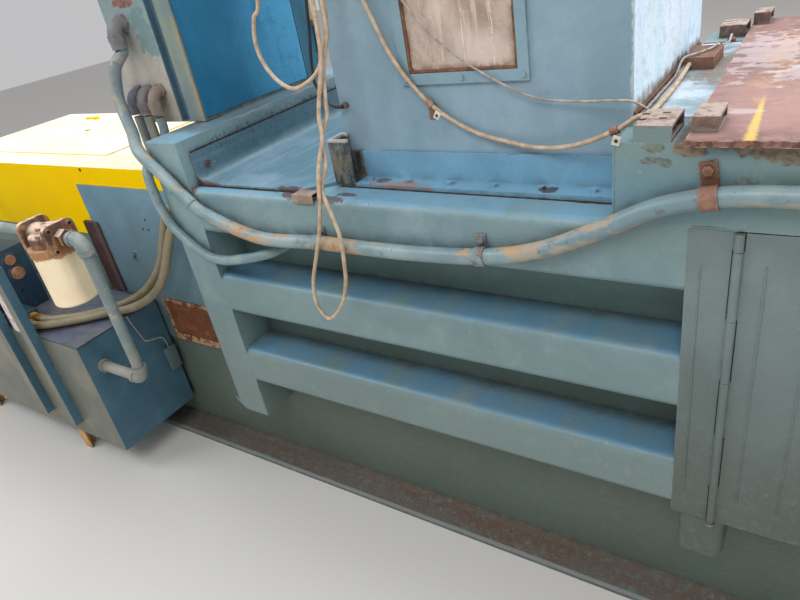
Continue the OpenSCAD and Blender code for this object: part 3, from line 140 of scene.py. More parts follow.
class Finish:
    """One material, kept by its name and built up from masks and blends."""

    def __init__(self, name, metal=0.0):
        self.material = bpy.data.materials.new(name)
        self.material.use_nodes = True
        self.tree = self.material.node_tree
        self.shader = self.tree.nodes["Principled BSDF"]
        self.shader.inputs["Metallic"].default_value = metal
        self.place = self.add("ShaderNodeTexCoord").outputs["Object"]
        parts = self.add("ShaderNodeSeparateXYZ")
        self.feed(parts.inputs[0], self.place)
        self.x, self.y, self.z = parts.outputs
        self.colour = None
        FINISHES[name] = self.material

    def add(self, kind, **settings):
        """A node with its settings."""
        node = self.tree.nodes.new(kind)
        for key, value in settings.items():
            setattr(node, key, value)
        return node

    def feed(self, socket, value):
        """Links a socket, or sets it to a number, a place or a screen colour."""
        if isinstance(value, bpy.types.NodeSocket):
            self.tree.links.new(value, socket)
        elif socket.type == "RGBA":
            socket.default_value = (*shade(value), 1.0)
        else:
            socket.default_value = value

    def sum(self, kind, a, b=0.0):
        """Arithmetic on two values."""
        node = self.add("ShaderNodeMath", operation=kind)
        self.feed(node.inputs[0], a)
        self.feed(node.inputs[1], b)
        return node.outputs[0]

    def times(self, first, *others):
        """The product of masks and numbers."""
        for other in others:
            first = self.sum("MULTIPLY", first, other)
        return first

    def vector(self, kind, *values):
        """Arithmetic on places and directions."""
        node = self.add("ShaderNodeVectorMath", operation=kind)
        for socket, value in zip(node.inputs, values):
            self.feed(socket, value)
        return node.outputs

    def step(self, value, low, high, top=1.0):
        """A soft step from 0 at low to top at high."""
        node = self.add("ShaderNodeMapRange", interpolation_type="SMOOTHSTEP")
        self.feed(node.inputs["Value"], value)
        node.inputs["From Min"].default_value = low
        node.inputs["From Max"].default_value = high
        node.inputs["To Max"].default_value = top
        return node.outputs["Result"]

    def band(self, value, low, high, soft):
        """A mask that is 1 between two values."""
        rise = self.step(value, low - soft, low + soft)
        return self.sum("SUBTRACT", rise, self.step(value, high - soft, high + soft))

    def grain(self, scale, detail=4.0, rough=0.55, warp=0.0, shift=0.0, x=1.0, y=1.0, z=1.0):
        """Noise, drawn out along an axis where its x, y or z is small."""
        turned = self.add("ShaderNodeMapping")
        self.feed(turned.inputs["Vector"], self.place)
        turned.inputs["Scale"].default_value = (x, y, z)
        turned.inputs["Location"].default_value = (shift, shift * 0.7, shift * 1.3)
        node = self.add("ShaderNodeTexNoise")
        self.feed(node.inputs["Vector"], turned.outputs[0])
        node.inputs["Scale"].default_value = scale
        node.inputs["Detail"].default_value = detail
        node.inputs["Roughness"].default_value = rough
        node.inputs["Distortion"].default_value = warp
        return node.outputs["Fac"]

    def cloud(self, scale, low, high, top=1.0, **look):
        """A mask where noise passes from low to high."""
        return self.step(self.grain(scale, **look), low, high, top)

    def frayed(self, value, amount, scale, **look):
        """A value torn by noise, for a ragged border."""
        return self.sum("ADD", value, self.times(self.grain(scale, **look), amount))

    def pipe_skin(self):
        """Fine and coarse grain of a painted pipe, for its relief."""
        return self.sum("ADD", self.grain(120.0, detail=3.0), self.grain(30.0, detail=3.0))

    def over(self, under, colour, *masks):
        """A colour over another one, where all the masks meet."""
        node = self.add("ShaderNodeMix", data_type="RGBA")
        self.feed(node.inputs["Factor"], self.times(*masks))
        self.feed(node.inputs[6], under)
        self.feed(node.inputs[7], colour)
        return node.outputs[2]

    def lay(self, colour, *masks):
        """A colour over the finish's own, where all the masks meet."""
        self.colour = self.over(self.colour, colour, *masks)

    def mixed(self, dark, pale, scale, low, high, top=1.0, **look):
        """Two colours mixed by noise."""
        return self.over(dark, pale, self.cloud(scale, low, high, top, **look))

    def spot(self, centre, size, ragged=0.6, scale=34.0):
        """A mask round one place, with a ragged outline."""
        sized = self.vector("DIVIDE", self.vector("SUBTRACT", self.place, centre)[0], size)[0]
        reach = self.vector("LENGTH", sized)["Value"]
        fray = self.sum("SUBTRACT", self.grain(scale, detail=7.0, rough=0.72), 0.5)
        torn = self.sum("ADD", reach, self.times(fray, 6.0 * ragged))
        return self.step(torn, 1.05, 0.88)

    def edges(self, radius):
        """A mask on the outer and inner edges."""
        rounded = self.add("ShaderNodeBevel", samples=6)
        rounded.inputs["Radius"].default_value = radius
        normal = self.add("ShaderNodeNewGeometry").outputs["Normal"]
        alike = self.vector("DOT_PRODUCT", rounded.outputs[0], normal)["Value"]
        return self.step(self.sum("SUBTRACT", 1.0, alike), 0.02, 0.10)

    def hollows(self, distance, low=0.35, high=0.95):
        """A mask in corners and under other pieces."""
        node = self.add("ShaderNodeAmbientOcclusion", samples=6)
        node.inputs["Distance"].default_value = distance
        return self.sum("SUBTRACT", 1.0, self.step(node.outputs["AO"], low, high))

    def facing(self, axis):
        """How far the surface faces along X, Y or Z."""
        parts = self.add("ShaderNodeSeparateXYZ")
        self.feed(parts.inputs[0], self.add("ShaderNodeNewGeometry").outputs["True Normal"])
        return parts.outputs["XYZ".index(axis)]

    def top_faces(self):
        """A mask on the faces that look up."""
        return self.step(self.facing("Z"), 0.5, 0.9)

    def front_faces(self):
        """A mask on the faces that look to the service side."""
        return self.step(self.times(self.facing("Y"), -1.0), 0.5, 0.9)

    def close(self, rough, height, depth=0.001, soft=0.0015):
        """Connects the colour, roughness and relief to the shader."""
        self.feed(self.shader.inputs["Base Color"], self.colour)
        self.feed(self.shader.inputs["Roughness"], rough)
        rounded = self.add("ShaderNodeBevel", samples=4)
        rounded.inputs["Radius"].default_value = soft
        bump = self.add("ShaderNodeBump")
        bump.inputs["Strength"].default_value = 0.6
        bump.inputs["Distance"].default_value = depth
        self.feed(bump.inputs["Height"], height)
        self.feed(bump.inputs["Normal"], rounded.outputs[0])
        self.feed(self.shader.inputs["Normal"], bump.outputs[0])


GRIME_AND_SHADE = (62, 50, 40)
MUD = (110, 92, 70)
OLD_RUST = (84, 52, 42)
DARK_PIT = (58, 38, 32)
BARE = (165, 172, 170)
RUBBED_EDGE = (196, 178, 160)


def machine_paint(name, tone, pale, dark, low=None, wear=0.5, rust=0.4, dirt_and_shade=0.5, chips_and_edge_highlight=BARE,
                  stains=(), overlay=None, gloss=0.34, shine=0.5):
    """Sprayed machine paint: mottled, pitted, chipped at the edges with a painted highlight there,
    grime and painted shade in the corners.
    """
    f = Finish(name)
    f.shader.inputs["Specular IOR Level"].default_value = shine
    f.colour = f.mixed(dark, tone, 2.3, 0.34, 0.66, rough=0.6, warp=0.6)
    cloud = f.grain(7.0, detail=5.0, rough=0.62, shift=3.1)
    f.lay(pale, f.step(cloud, 0.48, 0.72, 0.40))
    if low:
        # Darker lower down: dust, and painted shade for the little light that reaches the low
        # parts.
        dust_and_shade_height = f.frayed(f.z, 0.3, 5.0, shift=6.0)
        f.lay(low, f.step(dust_and_shade_height, 1.15, 0.45, 0.85))
    if overlay:
        overlay(f)
    peel = f.grain(150.0, rough=0.6, shift=4.9, detail=3.0)
    f.lay(dark, f.step(peel, 0.52, 0.70, 0.40))
    mottle = f.grain(28.0, detail=6.0, rough=0.72, shift=10.6)
    f.lay(dark, f.step(mottle, 0.50, 0.66, 0.30))
    f.lay(pale, f.step(mottle, 0.46, 0.34, 0.12))
    drip = f.cloud(13.0, 0.62, 0.80, 0.35 * dirt_and_shade, z=0.12, rough=0.65, shift=1.9)
    f.lay(MUD, drip)
    patch = f.grain(4.0, shift=9.2, detail=3.0)
    fleck = f.cloud(85.0, 0.62, 0.66, rough=0.7, shift=5.3)
    worn = f.times(fleck, f.step(patch, 0.52, 0.62))
    f.lay(chips_and_edge_highlight, worn, 0.8 * wear)
    speck = f.cloud(60.0, 0.655, 0.685, detail=5.0, rough=0.72, shift=12.4)
    spots = f.times(speck, f.step(patch, 0.56, 0.44))
    f.lay(OLD_RUST, spots, rust)
    # Pale chipped edges: wear, and a painted highlight along the edges.
    edge = f.edges(0.004)
    torn = f.grain(70.0, detail=5.0, rough=0.7, shift=2.6)
    f.lay(chips_and_edge_highlight, edge, f.step(torn, 0.40, 0.62, wear))
    f.lay(OLD_RUST, edge, f.step(torn, 0.58, 0.64, 1.6 * rust))
    # Grime and painted shade: the occlusion mask darkens corners and faces close under other
    # pieces.
    corner = f.hollows(0.035, low=0.30, high=0.85)
    settled_grime_and_shade = f.times(corner, f.cloud(26.0, 0.30, 0.65, shift=8.8))
    f.lay(GRIME_AND_SHADE, settled_grime_and_shade, dirt_and_shade)
    for centre, size, tint, amount in stains:
        inner = f.mixed(tint, OLD_RUST, 90.0, 0.45, 0.62, shift=2.2)
        f.lay(inner, f.spot(centre, size), amount)
    rough = f.sum("ADD", f.step(cloud, 0.3, 0.7, 0.12), f.step(settled_grime_and_shade, 0.0, 1.0, 0.35))
    rough = f.sum("ADD", f.sum("ADD", rough, f.times(worn, 0.3)), gloss)
    relief = f.sum("ADD", f.times(peel, 0.9), f.times(mottle, 0.9))
    relief = f.sum("SUBTRACT", relief, f.times(f.sum("ADD", worn, spots), 0.35))
    f.close(rough, relief)


def rusty_steel(name, tone, pale, dark, bright=0.3, overlay=None, polish=0.0, grime_and_shade_amount=0.6,
                **streaks):
    """Bare steel under old rust, its streaks drawn out along x, y or z."""
    f = Finish(name, metal=polish)
    f.colour = f.mixed(dark, tone, 3.4, 0.36, 0.64, detail=5.0, rough=0.62, warp=0.8)
    scale = f.grain(22.0, detail=6.0, rough=0.70, shift=3.3)
    f.lay(pale, f.step(scale, 0.48, 0.70, 0.75))
    drag = f.grain(60.0, rough=0.65, shift=6.1, **streaks)
    f.lay(pale, f.step(drag, 0.55, 0.72, 0.35))
    f.lay(dark, f.step(drag, 0.46, 0.28, 0.40))
    pits = f.grain(130.0, rough=0.7, shift=1.2, detail=3.0)
    f.lay(DARK_PIT, f.step(pits, 0.60, 0.72, 0.45))
    if overlay:
        overlay(f)
    torn = f.cloud(60.0, 0.40, 0.58, bright, shift=2.2)
    f.lay(RUBBED_EDGE, f.edges(0.003), torn)
    # Grime and painted shade in corners and under other pieces.
    f.lay(GRIME_AND_SHADE, f.hollows(0.03), grime_and_shade_amount)
    rough = f.sum("ADD", 0.55, f.step(scale, 0.35, 0.65, 0.28))
    relief = f.sum("ADD", f.times(pits, 0.8), scale)
    f.close(rough, relief, depth=0.0015, soft=0.001)


def plain_finish(name, tone, dark, rough=0.5, metal=0.0, scale=40.0, depth=0.0006, dirt_and_shade=0.5,
                 **streaks):
    """A quiet finish with a little grain and dirt, and grime with painted shade in the corners."""
    f = Finish(name, metal=metal)
    cloud = f.grain(scale, rough=0.6, **streaks)
    f.colour = f.over(dark, tone, f.step(cloud, 0.35, 0.68))
    broad = f.cloud(7.0, 0.52, 0.74, 0.45 * dirt_and_shade, rough=0.6, shift=4.0)
    f.lay(MUD, broad)
    # Grime and painted shade in corners and under other pieces.
    f.lay(GRIME_AND_SHADE, f.hollows(0.03), dirt_and_shade)
    worn = f.sum("ADD", rough - 0.08, f.step(cloud, 0.3, 0.7, 0.2))
    f.close(worn, f.grain(180.0, detail=3.0), depth=depth, soft=0.0008)


def body_overlay(f):
    """Painted bluish sky light on the upper faces, darker and dirtier towards the wall."""
    up = f.top_faces()
    rub = f.cloud(9.0, 0.28, 0.62, 0.8, y=0.5, shift=2.0)
    # Painted sky light: the faces that look up are painted bluer and paler, most near the top.
    painted_sky_light = f.over((86, 134, 166), (118, 164, 192), f.step(f.z, 0.90, 0.97))
    f.lay(painted_sky_light, up, rub)
    back = f.step(f.frayed(f.y, 0.05, 14.0, detail=5.0), -0.335, -0.295, 0.85)
    inside = f.times(back, f.step(f.y, 0.30, 0.20))
    f.lay((70, 74, 70), f.times(up, inside), 0.8)
    smear = f.cloud(11.0, 0.60, 0.72, 0.55, x=0.4, detail=6.0, rough=0.7, shift=5.0)
    f.lay((104, 98, 88), up, smear)


def deck_overlay(f):
    """Pale rubbed streaks on the deck, painted bluish sky light on its top faces, pitted rust
    above the fold.
    """
    f.lay((80, 120, 144), 0.6)
    drag = f.cloud(60.0, 0.50, 0.74, 0.5, y=0.06, rough=0.6, shift=3.0)
    f.lay((146, 178, 196), drag)
    # Painted sky light: pale bluish patches on the faces that look up.
    bloom = f.cloud(5.0, 0.50, 0.64, 0.5, detail=5.0, rough=0.65, shift=7.0)
    f.lay((140, 164, 186), f.top_faces(), bloom)
    fold = f.step(f.frayed(f.x, 0.03, 30.0), -0.525, -0.555)
    f.lay((70, 98, 112), fold, 0.6)
    pits = f.cloud(85.0, 0.55, 0.63, detail=5.0, rough=0.75, shift=4.0)
    f.lay((84, 66, 58), fold, f.step(f.z, 1.035, 1.075), pits, 0.8)


def beam_overlay(f):
    """Painted sky light on the top, from the body's overlay, with worn edges, and pitting above
    the deck's upturned edge.
    """
    body_overlay(f)
    low = f.times(f.step(f.z, 1.128, 1.106), f.step(f.x, -0.585, -0.575))
    pits = f.cloud(70.0, 0.50, 0.60, detail=5.0, rough=0.75, shift=4.0)
    f.lay((64, 58, 56), low, pits, 0.8)
    rim = f.times(f.step(f.z, 1.122, 1.132), f.step(f.x, -0.583, -0.573))
    bare = f.cloud(40.0, 0.48, 0.56, 0.8, y=0.2, detail=5.0, shift=8.0)
    f.lay((176, 170, 168), rim, bare)


def guard_overlay(f):
    """Mossy brown on the upright guard angles, rust spots on the foot, paint elsewhere."""
    moss = f.mixed((46, 40, 30), (112, 100, 72), 60.0, 0.40, 0.58, z=0.3, detail=5.0)
    moss = f.over(moss, (196, 190, 182), f.step(f.z, 1.112, 1.117))
    f.lay(moss, f.step(f.x, -0.090, -0.096), 0.95)
    for x in (-0.032, 0.359):
        pit = f.spot((x, -0.325, 1.018), (0.016, 0.014, 0.01))
        f.lay((72, 40, 34), pit, 0.9)
    rubbed = f.spot((0.03, -0.338, 1.018), (0.075, 0.014, 0.012), 0.9)
    f.lay((166, 132, 116), rubbed, 0.8)


def hopper_overlay(f):
    """Painted light on the right face, pale and bright with upright streaks, and a ragged corner.
    """
    # Painted light: the right face is painted pale blue-white, brighter than the paint, for the
    # light falling on that side.
    right = f.step(f.facing("X"), 0.5, 0.9)
    pale = f.mixed((206, 233, 252), (232, 244, 254), 24.0, 0.38, 0.62, 0.6, z=0.05, detail=5.0,
                   rough=0.62, shift=5.0)
    bloom = f.grain(7.0, z=0.4, detail=5.0, rough=0.65, shift=9.0)
    pale = f.over(pale, (210, 236, 236), f.step(bloom, 0.54, 0.68, 0.45))
    pale = f.over(pale, (168, 206, 238), f.step(bloom, 0.46, 0.36, 0.5))
    f.lay(pale, right, 0.95)
    foot = f.step(f.frayed(f.z, 0.07, 30.0, detail=5.0), 1.215, 1.190)
    f.lay((122, 92, 76), foot, f.times(right, 0.9))
    front = f.front_faces()
    near = f.step(f.frayed(f.x, 0.012, 70.0), 0.505, 0.509)
    f.lay((206, 214, 220), front, near, 0.8)
    wet = f.cloud(10.0, 0.4, 0.6, z=0.25, shift=2.0)
    f.lay((150, 178, 196), front, f.step(f.z, 1.32, 1.12, 0.5), wet)


def roof_overlay(f):
    """Pale blue strip with brown dirt by the switch box."""
    pale = f.mixed((140, 160, 166), (206, 216, 232), 12.0, 0.40, 0.62, detail=5.0, rough=0.65)
    f.lay(pale, 0.9)
    for centre, size in (((0.585, 0.05, 1.149), (0.04, 0.14, 0.03)),
                         ((0.512, -0.30, 1.149), (0.03, 0.10, 0.03))):
        f.lay((140, 116, 98), f.spot(centre, size), 0.8)


def header_overlay(f):
    """The body's paint, rough and green-gray, with rust under the top plate."""
    body_overlay(f)
    green = f.cloud(3.0, 0.36, 0.58, 0.75, shift=4.0)
    f.lay((122, 146, 140), green)
    haze = f.times(f.step(f.x, 0.84, 0.60), f.step(f.z, 1.14, 1.06), f.step(f.z, 0.99, 1.05))
    f.lay((96, 142, 168), haze, 0.5)
    under = f.step(f.frayed(f.z, 0.030, 45.0, detail=6.0, rough=0.7), 1.152, 1.163)
    f.lay((96, 66, 44), under, f.step(f.x, 0.598, 0.606), 0.85)


def rail_overlay(f):
    """Dust and mud on the foot rails, with a bare front edge."""
    up = f.top_faces()
    dust = f.grain(9.0, x=0.3, detail=6.0, rough=0.68, shift=5.0)
    f.lay((98, 86, 78), up, 0.85)
    f.lay((100, 76, 62), up, f.step(dust, 0.42, 0.60, 0.75))
    away = f.sum("ABSOLUTE", f.y)
    f.lay((108, 92, 78), f.times(up, f.step(away, 0.345, 0.335)), 0.6)
    rim = f.step(f.sum("ADD", away, f.times(dust, 0.006)), 0.4065, 0.4075)
    f.lay(BARE, up, rim, 0.5)


def cabinet_overlay(f):
    """Gray front turning beige below, a blue recessed band and a stained corner strip."""
    f.lay((196, 184, 172), f.step(f.z, 1.46, 1.26), 0.85)
    teal = f.spot((-0.785, -0.25, 1.375), (0.035, 0.03, 0.055), ragged=0.7, scale=22.0)
    f.lay((98, 134, 138), teal, 0.75)
    band = f.mixed((66, 112, 134), (94, 136, 152), 20.0, 0.4, 0.6, z=0.15)
    f.lay(band, f.band(f.x, -0.748, -0.710, 0.001), 0.9)
    tint = f.mixed((96, 124, 130), (126, 140, 126), 16.0, 0.40, 0.62, z=0.3)
    stain = f.cloud(24.0, 0.46, 0.58, 0.8, z=0.2, shift=3.0)
    tint = f.over(tint, (168, 146, 100), stain, f.step(f.x, -0.672, -0.655))
    f.lay(tint, f.step(f.x, -0.711, -0.709), 0.85)


def blue_panel_overlay(f):
    """Brushy deep blue, lighter towards the back, with painted shade for soft upright creases."""
    brushed = f.cloud(6.0, 0.42, 0.62, 0.5, z=0.4, detail=5.0, rough=0.6, warp=0.8)
    f.lay((48, 134, 172), brushed)
    f.lay((84, 176, 222), f.step(f.y, -0.10, 0.16, 0.8))
    # Painted shade: darker upright streaks stand for the shade in creases.
    crease = f.cloud(14.0, 0.56, 0.66, 0.5, z=0.12, shift=5.0, detail=3.0)
    f.lay((28, 96, 134), crease, f.step(f.y, -0.05, 0.05))
    f.lay((22, 32, 38), f.band(f.y, 0.196, 0.203, 0.001), 0.9)
    f.lay((34, 78, 92), f.step(f.y, 0.203, 0.206), 0.8)


def tank_overlay(f):
    """Gray-beige front and bar fronts, with a dark seam under the lid."""
    pale = f.mixed((108, 107, 90), (132, 123, 98), 7.0, 0.38, 0.64)
    f.lay(pale, f.front_faces(), 0.9)
    seam = f.times(f.step(f.z, 0.5275, 0.5295), f.step(f.y, -0.6458, -0.6452))
    f.lay((40, 46, 58), seam, 0.75)


def lid_overlay(f):
    """Purplish bloom on the lid over a dark seam."""
    bloom = f.cloud(6.0, 0.38, 0.62, 0.7, detail=5.0, rough=0.62, warp=0.8)
    f.lay((120, 116, 128), bloom)
    oil = f.cloud(9.0, 0.56, 0.68, 0.6, detail=6.0, rough=0.7, shift=7.0)
    f.lay((84, 74, 72), oil)
    f.lay((40, 46, 58), f.step(f.facing("Z"), 0.5, 0.2), 0.8)


def hood_overlay(f):
    """Painted light on the top, near white, above the strong yellow sides."""
    # Painted light: the top faces are painted near white for the strong light they catch.
    painted_top_light = f.mixed((255, 250, 222), (255, 253, 246), 5.0, 0.40, 0.62)
    f.lay(painted_top_light, f.top_faces(), 0.92)


def plate_overlay(f):
    """Rubbed white patch, a yellow spray mark and paler drag lines on the top plate."""
    bloom = f.cloud(4.0, 0.42, 0.60, 0.5, detail=6.0, rough=0.68, shift=2.0)
    f.lay((176, 138, 128), bloom)
    for centre, size in (((0.665, 0.12, 1.159), (0.06, 0.17, 0.02)),
                         ((0.73, -0.07, 1.159), (0.035, 0.05, 0.02)),
                         ((0.84, -0.24, 1.159), (0.045, 0.02, 0.02)),
                         ((0.68, -0.30, 1.159), (0.030, 0.012, 0.02))):
        f.lay((208, 194, 198), f.spot(centre, size, 1.0, 26.0), 0.45)
    middle = f.sum("ADD", f.times(f.sum("ADD", f.y, 0.441), -0.03), 0.703)
    width = f.sum("ADD", 0.0035, f.times(f.sum("SUBTRACT", -0.24, f.y), 0.020))
    off = f.sum("DIVIDE", f.sum("ABSOLUTE", f.sum("SUBTRACT", f.x, middle)), width)
    off = f.frayed(off, 2.0, 110.0, detail=6.0, rough=0.75)
    mark = f.times(f.step(off, 2.5, 1.4), f.step(f.y, -0.18, -0.30),
                   f.step(f.facing("Z"), 0.4, 0.8))
    f.lay((232, 194, 96), mark, 0.75)
    faint = f.spot((0.69, 0.05, 1.159), (0.030, 0.20, 0.02), 1.2, 22.0)
    f.lay((214, 168, 92), faint, 0.15)
    edge = f.step(f.frayed(f.y, 0.022, 50.0, detail=6.0), -0.428, -0.438, 0.85)
    bark = f.mixed((66, 42, 34), (140, 96, 74), 90.0, 0.44, 0.58, detail=5.0, rough=0.7,
                   shift=5.0)
    f.lay(bark, edge)


def casting_overlay(f):
    """Painted cream highlights on the top of the casting, brown oil down its sides."""
    # Painted highlight: cream patches on the faces that look up.
    top = f.times(f.step(f.facing("Z"), 0.2, 0.8), f.cloud(40.0, 0.38, 0.48, detail=5.0))
    f.lay((232, 206, 186), top, 0.85)
    run = f.cloud(45.0, 0.52, 0.66, 0.8, z=0.15, shift=6.0)
    f.lay((196, 134, 80), run)
    f.lay((206, 148, 92), f.step(f.z, 0.905, 0.885, 0.5))


def elbow_overlay(f):
    """Gray-blue bends turning tan to the right, and pale conduit stubs under them."""
    f.lay((148, 128, 110), f.step(f.x, -0.880, -0.790, 0.8))
    pipe = f.mixed((126, 140, 144), (170, 156, 136), 30.0, 0.4, 0.6, z=0.3)
    f.lay(pipe, f.step(f.z, 1.176, 1.168), 0.9)


def lug_overlay(f):
    """Pale crust and painted top light on the tops, the header's paint on the front lug's face,
    and pale grease round the plate's lug.
    """
    # Crust and painted top light: the tops are painted paler, partly for the light they catch.
    crust_and_top_light = f.cloud(50.0, 0.40, 0.54, detail=6.0, rough=0.7, shift=3.0)
    f.lay((190, 172, 162), f.top_faces(), crust_and_top_light, 0.7)
    face = f.times(f.front_faces(), f.step(f.x, 0.608, 0.600), f.step(f.y, 0.0, -0.1))
    ragged = f.frayed(f.z, 0.02, 60.0, detail=6.0, rough=0.7)
    f.lay((114, 138, 138), face, f.step(ragged, 1.187, 1.181), 0.95)
    foot = f.times(f.step(ragged, 1.178, 1.170), f.step(f.x, 0.605, 0.612))
    f.lay((176, 178, 178), foot, 0.7)


def strip_overlay(f):
    """A lighter purple run down the right edge."""
    right = f.step(f.frayed(f.x, 0.02, 40.0, detail=5.0), -1.292, -1.282, 0.8)
    f.lay((92, 68, 72), right)


def clamp_overlay(f):
    """The two left clamps are painted over, the right one is rusty."""
    painted = f.times(f.step(f.x, 0.52, 0.48), f.step(f.z, 1.02, 0.98))
    worn = f.cloud(60.0, 0.62, 0.54, detail=5.0, rough=0.7)
    paint = f.mixed((112, 140, 148), (140, 160, 162), 20.0, 0.4, 0.6, shift=2.0)
    f.lay(paint, painted, worn, 0.9)


def inspection_overlay(f):
    """Pale scratched border round the brown cover."""
    inner = f.times(f.band(f.x, -1.052, -0.828, 0.003), f.band(f.z, 0.408, 0.533, 0.003))
    rim = f.times(f.sum("SUBTRACT", 1.0, inner), f.cloud(50.0, 0.40, 0.54, detail=5.0))
    f.lay((190, 150, 110), rim, 0.8)
    ends = f.sum("ADD", f.band(f.z, 0.406, 0.409, 0.001), f.band(f.z, 0.532, 0.535, 0.001))
    f.lay((60, 34, 24), f.band(f.x, -1.052, -0.828, 0.002), ends, 0.8)


# Stains: centre, reach, colour and strength
DECK_STAINS = (
    ((-0.598, -0.385, 1.025), (0.030, 0.030, 0.020), (120, 62, 46), 0.9),
    ((-0.545, -0.400, 1.018), (0.045, 0.010, 0.012), (96, 58, 48), 0.85),
    ((-0.555, -0.360, 1.061), (0.009, 0.009, 0.009), (92, 46, 34), 0.9),
    ((-0.250, -0.398, 1.020), (0.040, 0.012, 0.010), (84, 50, 44), 0.8),
)
LEDGE_STAINS = (
    ((-0.240, -0.420, 1.012), (0.040, 0.020, 0.010), OLD_RUST, 0.8),
    ((-0.130, -0.420, 1.012), (0.040, 0.014, 0.010), OLD_RUST, 0.8),
    ((-0.086, -0.392, 1.012), (0.026, 0.010, 0.010), (84, 50, 44), 0.8),
    ((0.470, -0.356, 1.012), (0.040, 0.006, 0.010), (100, 62, 46), 0.9),
    ((0.220, -0.352, 1.012), (0.050, 0.004, 0.010), (178, 140, 108), 0.8),
    ((-0.600, -0.420, 1.000), (0.040, 0.020, 0.030), (130, 86, 60), 0.6),
    ((-0.009, -0.428, 1.012), (0.006, 0.006, 0.006), (230, 220, 205), 0.9),
)
HEADER_STAINS = (
    ((0.573, -0.430, 1.142), (0.022, 0.012, 0.010), (122, 122, 90), 0.6),
    ((0.622, -0.430, 1.139), (0.026, 0.012, 0.010), (140, 112, 70), 0.7),
    ((0.738, -0.430, 1.134), (0.042, 0.012, 0.016), (134, 106, 66), 0.75),
    ((0.568, -0.430, 1.122), (0.014, 0.010, 0.006), (110, 118, 100), 0.6),
    ((0.590, -0.430, 1.117), (0.010, 0.010, 0.006), (110, 118, 100), 0.6),
    ((0.700, -0.430, 1.088), (0.020, 0.010, 0.014), (120, 122, 100), 0.45),
    ((0.920, -0.430, 1.138), (0.060, 0.010, 0.010), (132, 100, 70), 0.7),
)
CABINET_STAINS = (((-0.835, -0.25, 1.457), (0.04, 0.02, 0.012), (150, 84, 66), 0.85),)

# Paints: tone, pale and dark. The body's is gray-green, darker below with dust and painted shade
BODY = ((130, 156, 160), (154, 178, 182), (110, 138, 144))
BODY_LOW_DUST_AND_SHADE = (112, 128, 122)
machine_paint("body_paint", *BODY, low=BODY_LOW_DUST_AND_SHADE, overlay=body_overlay, stains=LEDGE_STAINS)
machine_paint("header_paint", *BODY, low=BODY_LOW_DUST_AND_SHADE, overlay=header_overlay, stains=HEADER_STAINS,
              gloss=0.42)
machine_paint("beam_paint", *BODY, overlay=beam_overlay, wear=0.8, rust=0.6)
machine_paint("rail_paint", *BODY, low=(90, 94, 86), overlay=rail_overlay, wear=0.8, rust=0.5,
              gloss=0.5)
machine_paint("deck_paint", *BODY, overlay=deck_overlay, stains=DECK_STAINS, wear=0.8, rust=0.6)
machine_paint("guard_paint", (124, 172, 198), (156, 196, 216), (104, 152, 180),
              overlay=guard_overlay, rust=0.5)
machine_paint("hopper_paint", (142, 168, 182), (160, 184, 196), (126, 154, 168),
              overlay=hopper_overlay, wear=0.2, rust=0.15, dirt_and_shade=0.2, gloss=0.42)
machine_paint("window_paint", (140, 168, 180), BODY[1], (120, 150, 164), wear=0.4, rust=0.3,
              dirt_and_shade=0.4)
machine_paint("roof_paint", *BODY, overlay=roof_overlay)
machine_paint("door_paint", (118, 134, 134), (132, 150, 150), (106, 122, 122), low=(74, 80, 70),
              wear=0.35, rust=0.3, gloss=0.42)
machine_paint("wall_paint", (108, 142, 138), (122, 156, 152), (92, 122, 118), low=(88, 94, 82),
              wear=0.25, rust=0.3, gloss=0.42)
machine_paint("cover_paint", (122, 158, 178), (140, 172, 188), (104, 138, 156), low=(84, 98, 90),
              wear=0.25, rust=0.3)
machine_paint("cabinet_paint", (132, 150, 152), (158, 166, 160), (112, 128, 130),
              overlay=cabinet_overlay, wear=0.3, rust=0.3, stains=CABINET_STAINS)
machine_paint("blue_panel", (28, 112, 150), (50, 138, 172), (20, 98, 136),
              overlay=blue_panel_overlay, wear=0.05, rust=0.05, dirt_and_shade=0.2)
machine_paint("tank_paint", (78, 114, 130), (98, 134, 148), (62, 98, 116), overlay=tank_overlay,
              wear=0.25, rust=0.25)
machine_paint("lid_paint", (90, 104, 124), (124, 132, 148), (68, 82, 100), overlay=lid_overlay,
              wear=0.3, rust=0.3)
machine_paint("machine_blue", (52, 84, 102), (72, 104, 120), (38, 64, 84), wear=0.4, rust=0.35)
machine_paint("yellow_paint", (255, 212, 0), (255, 218, 0), (255, 204, 0), overlay=hood_overlay,
              wear=0.10, rust=0.15, dirt_and_shade=0.05, chips_and_edge_highlight=(200, 160, 60), shine=0.02)
machine_paint("leg_paint", (214, 160, 84), (228, 184, 110), (184, 130, 66), wear=0.4, rust=0.5)

# Rusty and oily steel: tone, pale and dark
rusty_steel("plate_rust", (156, 118, 112), (180, 146, 140), (128, 94, 88), bright=0.9,
            overlay=plate_overlay, x=0.12)
rusty_steel("lug_rust", (150, 124, 110), (186, 164, 150), (108, 84, 74), overlay=lug_overlay)
rusty_steel("strip_rust", (66, 44, 38), (84, 62, 62), (46, 30, 28), overlay=strip_overlay, z=0.2)
rusty_steel("cover_rust", (122, 68, 34), (148, 90, 46), (96, 52, 28), bright=0.9,
            overlay=inspection_overlay, x=0.06)
rusty_steel("fitting_rust", (160, 128, 112), (190, 156, 132), (124, 84, 62), bright=0.6)
rusty_steel("clamp_finish", (156, 120, 104), (184, 146, 122), (120, 78, 58), bright=0.5,
            overlay=clamp_overlay)
rusty_steel("cleat_tan", (158, 140, 122), (186, 168, 148), (116, 98, 84), bright=0.8)
rusty_steel("worn_steel", (150, 146, 142), (178, 176, 172), (112, 102, 96), bright=0.6, polish=0.6,
            x=0.08)
rusty_steel("oily_casting", (128, 90, 70), (190, 152, 128), (78, 52, 40), bright=0.8,
            overlay=casting_overlay)
